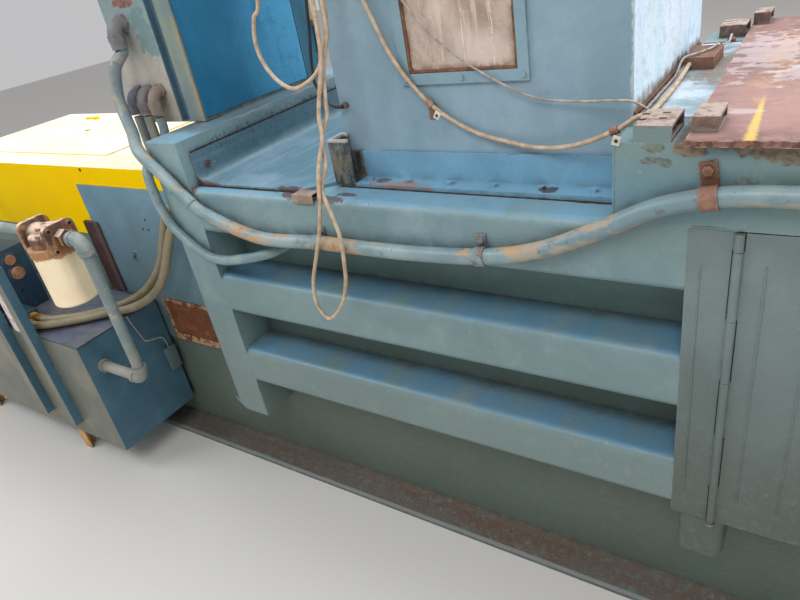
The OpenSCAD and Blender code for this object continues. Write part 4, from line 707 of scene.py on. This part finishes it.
rusty_steel("elbow_casting", (118, 124, 134), (150, 148, 146), (86, 90, 102), bright=0.5,
            overlay=elbow_overlay, grime_and_shade_amount=0.15)

# Plain finishes: tone and dark
plain_finish("rod_chrome", (205, 208, 212), (180, 184, 190), rough=0.18, metal=1.0, dirt_and_shade=0.15,
             x=0.05)
plain_finish("brass", (206, 160, 84), (140, 96, 48), rough=0.4, metal=0.5)
plain_finish("copper", (204, 156, 124), (160, 112, 84), rough=0.45, metal=0.3)
plain_finish("pump_paint", (92, 104, 108), (70, 80, 84), rough=0.55)
plain_finish("hose_rubber", (150, 140, 114), (136, 126, 100), rough=0.42, scale=30.0, dirt_and_shade=0.2)
plain_finish("cord_jacket", (206, 184, 158), (176, 150, 124), scale=60.0, dirt_and_shade=0.35)
plain_finish("thin_jacket", (190, 178, 168), (150, 134, 122), scale=60.0, dirt_and_shade=0.3)
plain_finish("dark_jacket", (46, 42, 40), (30, 28, 28))
plain_finish("white_tag", (232, 226, 214), (206, 196, 180))
plain_finish("gauge_pale", (222, 206, 204), (196, 176, 176), rough=0.3)
plain_finish("sealant", (132, 92, 62), (96, 62, 42), rough=0.7, scale=60.0, depth=0.002)
plain_finish("crack", (52, 38, 32), (30, 24, 22), rough=0.9)
plain_finish("dark_hole", (30, 26, 24), (18, 16, 15), rough=0.8)


def cream_can():
    """Cream enamel, an oily orange-brown ring under the head and thin drips below it."""
    f = Finish("cream_can")
    f.colour = f.mixed((255, 236, 200), (246, 216, 176), 10.0, 0.4, 0.7, 0.5)
    drip = f.grain(60.0, z=0.05, shift=4.0, detail=3.0)
    ring = f.step(f.sum("ADD", f.z, f.times(drip, 0.02)), 0.863, 0.868)
    f.lay((196, 132, 72), ring, 0.9)
    f.lay((214, 178, 128), f.step(drip, 0.60, 0.76, 0.25))
    f.close(0.32, f.grain(90.0, detail=3.0), depth=0.0003, soft=0.001)


def worn_pipe(name, rubbed):
    """Gray-blue paint rubbed to tan along the pipe."""
    f = Finish(name)
    f.colour = f.mixed((116, 141, 148), (146, 166, 168), 8.0, 0.4, 0.65)
    beige = f.mixed((126, 134, 138), (164, 154, 140), 26.0, 0.42, 0.60, z=0.3, detail=5.0)
    f.lay(beige, f.step(f.z, 1.08, 1.20, 0.6))
    rub = f.grain(24.0, x=0.4, detail=7.0, rough=0.74, shift=6.0)
    patch = f.cloud(5.0, 0.40, 0.56, shift=1.5, detail=3.0)
    more = f.times(f.step(f.x, -0.62, -0.45), patch, 0.14 * rubbed)
    bare = f.step(f.sum("SUBTRACT", rub, f.sum("SUBTRACT", 0.570, more)), 0.0, 0.07, 0.85)
    hue = f.mixed((172, 160, 142), (196, 150, 100), 20.0, 0.42, 0.60, detail=5.0, shift=2.0)
    f.lay(hue, bare)
    scar = f.cloud(70.0, 0.60, 0.66, 0.7, detail=5.0, rough=0.7, shift=3.0)
    f.lay((112, 92, 78), scar)
    # Grime and painted shade where the pipe runs close to other pieces.
    f.lay(GRIME_AND_SHADE, f.hollows(0.02), 0.4)
    rough = f.sum("ADD", 0.36, f.step(bare, 0.0, 0.85, 0.3))
    f.close(rough, f.pipe_skin(), depth=0.0008)


def gray_pipe():
    """Gray-green pipe paint with beige wear."""
    f = Finish("gray_pipe")
    f.colour = f.mixed((118, 132, 134), (150, 158, 152), 9.0, 0.42, 0.66)
    f.lay((150, 140, 126), f.step(f.z, 0.60, 0.50, 0.5))
    wear = f.cloud(26.0, 0.58, 0.66, 0.7, detail=6.0, rough=0.7, shift=5.0)
    f.lay((186, 166, 140), wear)
    # Grime and painted shade where the pipe runs close to other pieces.
    f.lay(GRIME_AND_SHADE, f.hollows(0.02), 0.5)
    f.close(0.42, f.pipe_skin(), depth=0.0008)


def dirty_pane():
    """Scratched clear sheet under brown dust."""
    f = Finish("dirty_pane")
    dust = f.grain(7.0, z=0.6, detail=6.0, rough=0.68, warp=0.5)
    f.colour = f.over((178, 156, 144), (214, 196, 184), f.step(dust, 0.36, 0.62))
    clean = f.times(f.band(f.x, 0.180, 0.250, 0.008), f.step(f.z, 1.30, 1.33))
    f.lay((142, 112, 92), clean, 0.4)
    smear = f.cloud(60.0, 0.56, 0.68, 0.6, z=0.10, detail=5.0, shift=4.0)
    f.lay((222, 206, 192), smear)
    cross = f.cloud(60.0, 0.60, 0.70, 0.4, x=0.10, detail=5.0, shift=7.0)
    f.lay((216, 198, 182), cross)
    line = f.frayed(f.x, 0.008, 40.0, detail=5.0, shift=3.0)
    scratch = f.sum("ADD", f.band(line, 0.1935, 0.1950, 0.0006),
                    f.band(line, 0.2545, 0.2560, 0.0006))
    level = f.frayed(f.z, 0.008, 30.0, shift=6.0)
    rung = f.times(f.band(level, 1.3890, 1.3905, 0.0008), f.step(f.x, 0.190, 0.196))
    broken = f.cloud(45.0, 0.38, 0.50, 0.85, shift=9.0)
    f.lay((244, 230, 216), f.sum("ADD", scratch, rung), broken)
    dots = f.cloud(170.0, 0.62, 0.70, 0.7, rough=0.7, shift=1.0)
    f.lay((236, 224, 212), dots)
    inner = f.times(f.band(f.x, 0.072, 0.290, 0.012), f.band(f.z, 1.252, 1.532, 0.014))
    ragged = f.cloud(50.0, 0.30, 0.56, detail=6.0, shift=8.0)
    f.lay((122, 78, 48), f.sum("SUBTRACT", 1.0, inner), ragged)
    rough = f.sum("ADD", 0.16, f.step(dust, 0.3, 0.7, 0.4))
    f.close(rough, f.grain(60.0), depth=0.0006)


cream_can()
worn_pipe("conduit_paint", 1.0)
worn_pipe("branch_paint", -0.5)
gray_pipe()
dirty_pane()

SLOT_FINISH = {
    "painted": "body_paint", "painted_deep": "tank_paint", "painted_yellow": "yellow_paint",
    "painted_beige": "cabinet_paint", "rusty": "fitting_rust", "bare_steel": "worn_steel",
    "rod_chrome": "rod_chrome", "cast": "oily_casting", "can_cream": "cream_can",
    "pane": "dirty_pane", "hose": "hose_rubber", "cord": "cord_jacket",
}
NODE_FINISH = {
    "base_rails": "rail_paint", "portal_beam": "beam_paint", "headers": "header_paint",
    "deck_plate": "deck_paint", "hopper_flange": "guard_paint", "hopper_shell": "hopper_paint",
    "window_frame": "window_paint", "roof_plate": "roof_paint", "side_door": "door_paint",
    "hinge_leaf": "door_paint", "throat_posts": "door_paint", "access_cover": "cover_paint",
    "side_wall_front": "wall_paint", "side_wall_back": "wall_paint", "cabinet_door": "blue_panel",
    "tank_lid": "lid_paint", "valve_box": "machine_blue", "tank_legs": "leg_paint",
    "top_plate": "plate_rust", "tube_lugs": "lug_rust", "rust_strip": "strip_rust",
    "inspection_cover": "cover_rust", "conduit_elbows": "elbow_casting",
    "return_pipe": "gray_pipe", "line_clamps": "clamp_finish", "pump_set": "pump_paint",
    "cylinder_barrel": "machine_blue",
}
for part in frame["record"]["subparts"]:
    materials = NODES[part["node"]].data.materials
    materials.clear()
    finish = NODE_FINISH.get(part["node"], SLOT_FINISH[part["material_slot"]])
    materials.append(FINISHES[finish])


# Lines: cords, conduits and hoses follow the frame's own routes, given in millimetres
def metres(points):
    """Points given in millimetres."""
    return [tuple(0.001 * value for value in point) for point in points]


def along(points, steps):
    """Points on a smooth line through the given ones."""
    line = []
    last = len(points) - 1
    for i in range(last):
        a, b, c, d = (Vector(points[min(max(i + k, 0), last)]) for k in (-1, 0, 1, 2))
        for j in range(steps):
            t = j / steps
            line.append(0.5 * (2 * b + (c - a) * t + (2 * a - 5 * b + 4 * c - d) * t * t
                               + (3 * b - a - 3 * c + d) * t ** 3))
    line.append(Vector(points[last]))
    return line


def curve(name, line, radius, sides, finish, body="frame", swell=()):
    """A round tube along a line, as a curve of one spline that rides on a body."""
    data = bpy.data.curves.new(name, "CURVE")
    data.dimensions = "3D"
    data.bevel_depth = radius
    data.bevel_resolution = sides
    data.use_fill_caps = True
    spline = data.splines.new("POLY")
    spline.points.add(len(line) - 1)
    for point, place in zip(spline.points, line):
        point.co = (*place, 1.0)
    for point, width in zip(spline.points, swell):
        point.radius = width
    data.materials.append(FINISHES[finish])
    made = link(name, data)
    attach(made, body)
    return made


LINE_STEPS = 8


def tube(name, points, radius, finish, sides=8):
    """A smooth tube through some points."""
    return curve(name, along(points, LINE_STEPS), radius, sides, finish)


CORD_RUN = metres([
    (-60, -304, 1500), (-60, -312, 1500), (-56, -320, 1478), (-38, -314, 1440),
    (-11, -307, 1389), (37, -305, 1273), (104, -300, 1184), (189, -300, 1129),
    (274, -304, 1106), (347, -312, 1098), (420, -330, 1112), (489, -346, 1142),
    (522, -334, 1161), (533, -290, 1155), (535, -200, 1154), (534, -100, 1154),
    (532, 10, 1160), (532, 24, 1161), (532, 35, 1161),
])
CORD_SLACK = metres([
    (-100, -304, 1760), (-100, -313, 1760), (-103, -326, 1730), (-98, -332, 1600),
    (-91, -358, 1450), (-87, -372, 1354), (-83, -385, 1300), (-94, -405, 1224),
    (-99, -412, 1189), (-92, -425, 1149), (-103, -442, 1097), (-103, -460, 1049),
    (-101, -470, 1015), (-118, -478, 947), (-153, -478, 868), (-173, -478, 818),
    (-179, -478, 760), (-149, -478, 725), (-99, -478, 774), (-73, -478, 833),
    (-64, -478, 879), (-58, -478, 953), (-78, -470, 1016), (-105, -447, 1047),
    (-94, -430, 1096), (-102, -414, 1145), (-89, -398, 1187), (-85, -396, 1222),
    (-92, -373, 1278), (-82, -368, 1314), (-73, -362, 1351), (-74, -352, 1450),
    (-76, -334, 1600), (-72, -326, 1730), (-70, -313, 1760), (-70, -304, 1760),
])
CORD_DROP = metres([
    (-150, -321, 2124), (-150, -332, 2121), (-153, -340, 2106), (-158, -343, 2080),
    (-185, -344, 1900), (-215, -348, 1600), (-245, -352, 1421), (-267, -354, 1388),
    (-277, -358, 1345), (-266, -364, 1304), (-233, -372, 1266), (-184, -380, 1244),
    (-135, -384, 1255), (-104, -374, 1279), (-92, -352, 1323), (-85, -345, 1348),
    (-78, -336, 1450), (-52, -322, 1600), (-42, -322, 1730), (-40, -313, 1760),
    (-40, -304, 1760),
])
CORD_THIN = metres([
    (30, -304, 1600), (30, -311, 1598.5), (31, -316.5, 1592), (34, -318, 1578),
    (52, -312, 1460), (79, -306, 1380), (144, -304, 1303), (224, -304, 1243),
    (321, -304, 1194), (398, -306, 1183), (470, -316, 1185), (507, -318, 1184),
    (523, -300, 1170), (521, -262, 1156), (519, -200, 1153), (519, -60, 1153),
    (519, -15, 1158), (522, 22, 1176), (540, 52, 1178), (562, 100, 1178),
    (567, 142, 1179), (569, 158, 1178), (571, 182, 1166), (574, 250, 1160),
    (573, 280, 1166), (572.5, 292, 1166.5), (572, 299.5, 1163.5), (572, 302, 1157),
])
CORD_DARK = metres([
    (-118, -304, 1500), (-118, -309, 1500), (-128, -314, 1474), (-152, -308, 1410),
    (-166, -304, 1345), (-180, -302, 1290), (-185, -302, 1249), (-183, -302, 1229),
    (-161, -304, 1197), (-136, -312, 1186), (-118, -309, 1183), (-118, -304, 1183),
])
CORD_SIDES = 5
CORD_RADIUS = 0.0045


def add_cord(name, node, route, radius, finish):
    """A free cord that hangs between two fittings."""
    cord = tube(name, route, radius, finish, CORD_SIDES)
    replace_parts(cord, node)


add_cord("run_cord", "cord_run", CORD_RUN, CORD_RADIUS, "cord_jacket")
add_cord("slack_cord", "cord_slack", CORD_SLACK, CORD_RADIUS, "cord_jacket")
add_cord("drop_cord", "cord_drop", CORD_DROP, CORD_RADIUS, "cord_jacket")
add_cord("thin_wire", "cord_thin", CORD_THIN, 0.0022, "thin_jacket")
add_cord("dark_wire", "cord_dark", CORD_DARK, 0.0035, "dark_jacket")


# Pieces: blocks, posts and beads in mesh code
ALONG_X = Vector((1, 0, 0))
ALONG_Y = Vector((0, 1, 0))
BEVEL = {"profile": 0.5, "affect": "EDGES", "material": -1}


def box(form, low, high, round_by=0.0):
    """A block between two corners, its edges rounded."""
    made = bmesh.ops.create_cube(form, size=1.0)["verts"]
    low, high = Vector(low), Vector(high)
    bmesh.ops.scale(form, vec=high - low, verts=made)
    bmesh.ops.translate(form, vec=(low + high) / 2, verts=made)
    if round_by:
        edges = list(dict.fromkeys(edge for vert in made for edge in vert.link_edges))
        bmesh.ops.bevel(form, geom=edges, offset=round_by, segments=2, **BEVEL)


def post(form, place, axis, radius, height, sides=32, round_by=0.0):
    """A round or many-sided post from a point along an axis."""
    turn = Vector((0.0, 0.0, 1.0)).rotation_difference(axis).to_matrix().to_4x4()
    spot = Matrix.Translation(Vector(place) + axis * height / 2) @ turn
    made = bmesh.ops.create_cone(form, cap_ends=True, segments=sides, radius1=radius,
                                 radius2=radius, depth=height, matrix=spot)["verts"]
    if round_by:
        edges = [edge for edge in dict.fromkeys(e for vert in made for e in vert.link_edges)
                 if edge.calc_face_angle() > 0.9]
        bmesh.ops.bevel(form, geom=edges, offset=round_by, segments=2, **BEVEL)


def piece(name, form, finish, node=None, crease=35.0):
    """Closes a form into a named piece of the frame, in place of a node or beside it."""
    mesh = bpy.data.meshes.new(name)
    bmesh.ops.recalc_face_normals(form, faces=form.faces)
    form.to_mesh(mesh)
    form.free()
    mesh.materials.append(FINISHES[finish])
    mesh.shade_smooth()
    mesh.set_sharp_from_angle(angle=math.radians(crease))
    made = link(name, mesh)
    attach(made, "frame")
    if node:
        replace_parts(made, node)


def built(name, finish, shapes, node=None):
    """A piece of several shapes, each given as its maker and the maker's sizes."""
    form = bmesh.new()
    for maker, *sizes in shapes:
        maker(form, *sizes)
    piece(name, form, finish, node)


MAIN_ROUTE = metres([
    (-860, -284, 1348), (-860, -284, 1338), (-871, -311, 1309), (-880, -322, 1268),
    (-880, -332, 1224), (-858, -346, 1182), (-800, -381, 1146), (-706, -444, 1115),
    (-637, -449.5, 1059), (-579, -449.5, 1002), (-515, -449.5, 957), (-344, -449.5, 908),
    (-150, -449.5, 914), (72, -449.5, 915), (262, -449.5, 927), (385, -449.5, 955),
    (494, -449.5, 1005), (574, -449.5, 1047), (659, -449.5, 1072), (760, -449.5, 1080),
    (1000, -449.5, 1080), (1300, -449.5, 1080), (1560, -449.5, 1080),
])
BRANCH_ROUTE = metres([
    (-795, -284, 1160), (-795, -284, 1125), (-792, -302, 1092), (-762, -362, 1076),
    (-726, -420, 1069), (-706, -445.5, 1045), (-705, -445.5, 1000), (-700, -445.5, 960),
    (-676, -445.5, 906), (-619, -445.5, 856), (-561, -445.5, 826), (-496, -445.5, 824),
    (-429, -445.5, 837), (-385, -443, 846), (-352, -425, 851), (-338, -395, 852),
    (-335, -356, 852), (-335, -334, 852), (-335, -315, 852),
])
HOSE_ROUTES = (
    metres([(-812, -322.3, 905), (-812, -346, 905), (-826, -364, 876), (-926, -366, 726),
            (-1020, -372, 636), (-1106, -392, 580), (-1176, -440, 557), (-1240, -510, 556),
            (-1330, -566, 556), (-1392, -584, 556), (-1432, -584, 556)]),
    metres([(-772, -322.3, 884), (-772, -350, 884), (-792, -384, 848), (-890, -398, 696),
            (-990, -404, 610), (-1090, -428, 563), (-1176, -482, 556), (-1250, -548, 556),
            (-1340, -606, 556), (-1392, -622, 556), (-1432, -622, 556)]),
)


def add_conduits():
    """Smooth conduits with their couplings and the end box."""
    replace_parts(tube("main_pipe", MAIN_ROUTE, 0.0165, "conduit_paint"), "main_conduit")
    built("main_pipe_box", "conduit_paint", [
        (post, (1.558, -0.4495, 1.080), ALONG_X, 0.0194, 0.024, 6, 0.002),
        (box, (1.580, -0.474, 1.040), (1.650, -0.430, 1.120), 0.004)], "main_conduit")
    before, here, there = (Vector(place) for place in MAIN_ROUTE[8:11])
    run = (there - before).normalized()
    built("main_pipe_rings", "conduit_paint", [
        (post, here + run * (offset - 0.002), run, 0.0172, 0.004) for offset in (-0.030, 0.030)])
    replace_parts(tube("branch_pipe", BRANCH_ROUTE, 0.013, "branch_paint"),
                "branch_conduit")
    built("branch_nut", "branch_paint", [
        (post, (-0.335, -0.331, 0.852), ALONG_Y, 0.020, 0.016, 6, 0.002)], "branch_conduit")
    for number, route in enumerate(HOSE_ROUTES, 1):
        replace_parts(tube("hose_%d" % number, route, 0.014, "hose_rubber"), "hoses")
        built("hose_nuts_%d" % number, "brass", [
            (post, Vector(route[0]) - 0.018 * ALONG_Y, ALONG_Y, 0.019, 0.018, 6, 0.002),
            (post, Vector(route[-1]) - 0.003 * ALONG_X, ALONG_X, 0.0165, 0.045, 32, 0.002)],
            "hoses")


def bead(name, finish, radius, points, ripple=0.006, body="frame"):
    """A rippled bead along a line."""
    line = along(metres(points), 1)
    dots = []
    for a, b in zip(line, line[1:]):
        count = max(2, int((b - a).length / ripple))
        dots += [a.lerp(b, k / count) for k in range(count)]
    dots.append(line[-1])
    sways = [0.25 * radius * noise.noise(dot * 90.0) for dot in dots]
    swell = [(0.82 if k % 2 else 1.0) + 0.25 * noise.noise(dot * 60.0)
             for k, dot in enumerate(dots)]
    swayed = [(dot.x + sway, dot.y, dot.z + sway) for dot, sway in zip(dots, sways)]
    curve(name, swayed, radius, 2, finish, body, swell)


def add_beads():
    """Weld beads where the plates of the body meet, open seams, and ragged sealant."""
    bead("weld_header_left", "header_paint", 3.0e-3, [(511, -428, 1016), (511, -429, 1143)])
    bead("weld_leaf_top", "door_paint", 3.0e-3,
         [(634, -429, 1014), (664, -429, 1015), (700, -429, 1012)])
    bead("leaf_crease", "door_paint", 1.5e-3, [(650, -430.2, 945), (650, -430.2, 440)])
    bead("weld_leaf_left", "door_paint", 2.2e-3, [(628, -421, 1000), (629, -421, 900)])
    bead("flange_crack", "crack", 2.2e-3,
         [(-136, -350, 1012.5), (100, -352, 1012.5), (486, -355, 1012.5)], 0.014)
    bead("deck_crack", "crack", 2.0e-3,
         [(-590, -401, 1013), (-400, -401, 1014), (-215, -401, 1013)], 0.014)
    bead("upturn_seam", "crack", 2.6e-3,
         [(-564, -398, 1102), (-564, 0, 1101), (-564, 396, 1102)], 0.012)
    for name, z in (("low", 385), ("middle", 637), ("upper", 889)):
        bead("weld_%s_left" % name, "body_paint", 3.0e-3,
             [(-570.5, -428, z + 4), (-570.5, -428, z + 119)])
    for name, z in (("low", 385), ("middle", 637)):
        bead("weld_%s_right" % name, "body_paint", 3.0e-3,
             [(627, -422, z + 6), (627, -422, z + 117)])
    bead("cover_seam", "crack", 1.8e-3, [(-1149, -322, 531), (-1147, -322, 389)], 0.02)
    for number, x in enumerate((-420, -180, 60, 300)):
        for name, z, radius in (("stitch_%d", 1013.5, 3.0e-3), ("stitch_low_%d", 888, 3.5e-3)):
            bead(name % number, "body_paint", radius, [(x, -316, z), (x + 60, -316, z)])
    bead("door_weld_left", "door_paint", 1.8e-3, [(744, -430.2, 955), (744, -430.2, 420)],
         body="side_door")
    bead("door_weld_second", "door_paint", 1.6e-3, [(812, -430.2, 950), (812, -430.2, 430)],
         body="side_door")
    left, right, low, high = 65, 297, 1244, 1538
    bead("window_seal", "sealant", 4.0e-3,
         [(left, -291.5, low), (right, -291.5, low), (right, -291.5, high),
          (left, -291.5, high), (left, -291.5, low + 4)], 0.009)
    bead("hopper_seal_right", "sealant", 5.0e-3, [(507, -288, 1152), (507, 280, 1152)], 0.011)
    bead("hopper_seal_left", "sealant", 3.5e-3, [(-139, -280, 1022), (-139, 280, 1022)], 0.012)


BOLT_HOLES = ((-0.996, -0.3224, 0.845), (-1.026, -0.3224, 0.810), (-0.996, -0.3224, 0.810))
LUG_SLOTS = ((545, -367), (575, -360), (546, -397), (576, -390))
CLIP_TAGS = (((0.5160, -0.4320, 1.1530), 0.25), ((0.1330, -0.3260, 1.1665), 0.55))
BENT_WIRE = metres([
    (-1104, -452, 538), (-1101, -450, 515), (-1099, -432, 434), (-1098, -424, 424),
    (-1097, -412, 418), (-1096, -372, 404), (-1096, -360, 380), (-1097, -358, 348)])


def add_fittings():
    """Small fittings: the clip tags, gauge, bracket, wire, screws and slots."""
    marks = [(post, place, ALONG_Y, 0.004, 0.001, 16) for place in BOLT_HOLES]
    marks.append((post, (-1.254, -0.3185, 1.001), ALONG_Y, 0.006, 0.001, 16))
    marks += [(box, *metres([(x - 6, y - 3, 1175.5), (x + 6, y + 3, 1176.3)]))
              for x, y in LUG_SLOTS]
    built("dark_marks", "dark_hole", marks)
    built("flange_bolt_sockets", "dark_hole", [
        (post, (x - 0.0008, -0.588 + dy, 0.910 + dz), ALONG_X, 0.0055, 0.0016, 6)
        for x in (-0.9862, -1.1440) for dy in (-0.033, 0.033) for dz in (-0.031, 0.031)])
    for number, (centre, turn) in enumerate(CLIP_TAGS, 1):
        form = bmesh.new()
        half = Vector((0.0065, 0.0008, 0.0080))
        box(form, -half, half, 0.0006)
        post(form, (0.0, -0.0014, 0.0), ALONG_Y, 0.0042, 0.0012, 24)
        spot = Matrix.Translation(centre) @ Matrix.Rotation(turn, 4, "Y")
        bmesh.ops.transform(form, matrix=spot, verts=form.verts)
        piece("clip_tag_%d" % number, form, "white_tag")
        built("clip_hole_%d" % number, "dark_hole", [
            (post, Vector(centre) - 0.0020 * ALONG_Y, ALONG_Y, 0.0028, 0.0012, 20)])
    built("sight_gauge", "gauge_pale", [
        (box, (-1.412, -0.674, 0.560), (-1.373, -0.6455, 0.700), 0.004)])
    built("tank_bracket", "cover_paint", [
        (box, (-1.112, -0.376, 0.262), (-1.092, -0.334, 0.352), 0.002)])
    curve("bent_wire", along(BENT_WIRE, 6), 0.0018, CORD_SIDES, "thin_jacket")
    built("ledge_cleat_skin", "cleat_tan", [
        (box, (-0.212, -0.434, 1.012), (-0.156, -0.402, 1.0225), 0.002),
        (box, (-0.214, -0.4345, 1.000), (-0.154, -0.4302, 1.0222), 0.0015)])
    built("cover_screw_shine", "rod_chrome", [
        (post, (-1.130, -0.3235, 0.711), ALONG_Y, 0.008, 0.002, 24, 0.0006)])


def add_valve_box():
    """The valve box with its plugged ports, and the hose block with its fittings."""
    built("valve_box_body", "machine_blue", [
        (box, (-1.967, -0.645, 0.536), (-1.567, -0.461, 0.777), 0.004),
        (post, (-1.568, -0.524, 0.734), ALONG_X, 0.024, 0.0025, 40),
        (post, (-1.568, -0.520, 0.681), ALONG_X, 0.029, 0.0025, 40),
        (box, (-1.560, -0.640, 0.5365), (-1.457, -0.560, 0.578), 0.003)], "valve_box")
    plugs = []
    for y, z, radius in ((-0.524, 0.734, 0.019), (-0.520, 0.681, 0.024)):
        plugs.append((post, (-1.566, y, z), ALONG_X, radius, 0.005, 40, 0.0012))
        plugs.append((post, (-1.5612, y, z), ALONG_X, 0.45 * radius, 0.0012, 6))
    built("port_plugs", "copper", plugs, "valve_box")
    built("hose_hexes", "brass", [
        (post, (-1.4575, y, 0.556), ALONG_X, 0.0175, 0.026, 6, 0.002) for y in (-0.622, -0.584)],
        "valve_box")
    built("box_hole", "dark_hole", [
        (post, (-1.5672, -0.534, 0.616), ALONG_X, 0.005, 0.001, 16)])


PLATE_LEFT = 0.594
PLATE_RIGHT = 1.700
PLATE_FRONT = -0.448
PLATE_BACK = 0.505
PLATE_SLANT = 0.023 / 0.953
WANDER = 0.0032


def add_top_plate():
    """The top plate, torch cut: its left edge slants and all edges wander by up to 3 mm."""
    form = bmesh.new()
    box(form, (PLATE_LEFT, PLATE_FRONT, 1.149), (PLATE_RIGHT, PLATE_BACK, 1.159))
    for vert in form.verts:
        if vert.co.x < PLATE_LEFT + 0.001:
            vert.co.x += PLATE_SLANT * (PLATE_BACK - vert.co.y)
    long_ones = [edge for edge in form.edges if edge.calc_length() > 0.5]
    bmesh.ops.subdivide_edges(form, edges=long_ones, cuts=170, use_grid_fill=True)
    standing = [edge for edge in form.edges
                if abs(edge.verts[0].co.z - edge.verts[1].co.z) > 0.005]
    bmesh.ops.subdivide_edges(form, edges=standing, cuts=3)
    for vert in form.verts:
        spot = vert.co
        wander = 0.5 + 0.5 * noise.noise(spot * 34.0) + 0.35 * noise.noise(spot * 120.0)
        inset = WANDER * max(0.0, min(1.0, wander))
        left = PLATE_LEFT + PLATE_SLANT * (PLATE_BACK - spot.y)
        if spot.y < PLATE_FRONT + 0.0001:
            spot.y += inset
        if spot.y > PLATE_BACK - 0.0001:
            spot.y -= inset
        if spot.x < left + 0.0001:
            spot.x += inset
        if spot.x > PLATE_RIGHT - 0.0001:
            spot.x -= inset
    piece("torch_cut_plate", form, "plate_rust", "top_plate", crease=50.0)


def add_headers():
    """The headers, their left ends rounded below like the ribs that they meet."""
    left, throat, right = 0.512, 0.628, 1.720
    low, ledge, top = 0.889, 1.012, 1.149
    bend = 0.020
    for number, side in enumerate((-1, 1), 1):
        near, far = sorted((side * 0.430, side * 0.315))
        form = bmesh.new()
        box(form, (left, near, low), (throat, far, ledge))
        under = [edge for edge in form.edges
                 if all(vert.co.z < low + 0.001 and abs(vert.co.y - side * 0.430) < 0.001
                        for vert in edge.verts)]
        bmesh.ops.bevel(form, geom=under, offset=bend, segments=8, **BEVEL)
        box(form, (left, near, ledge), (right, far, top))
        inner = sorted((side * 0.320, side * 0.303))
        box(form, (left, inner[0], top - 0.008), (right, inner[1], top))
        piece("header_%d" % number, form, "header_paint", "headers")


add_conduits()
add_beads()
add_fittings()
add_valve_box()
add_top_plate()
add_headers()


bpy.context.scene.view_settings.view_transform = "Standard"
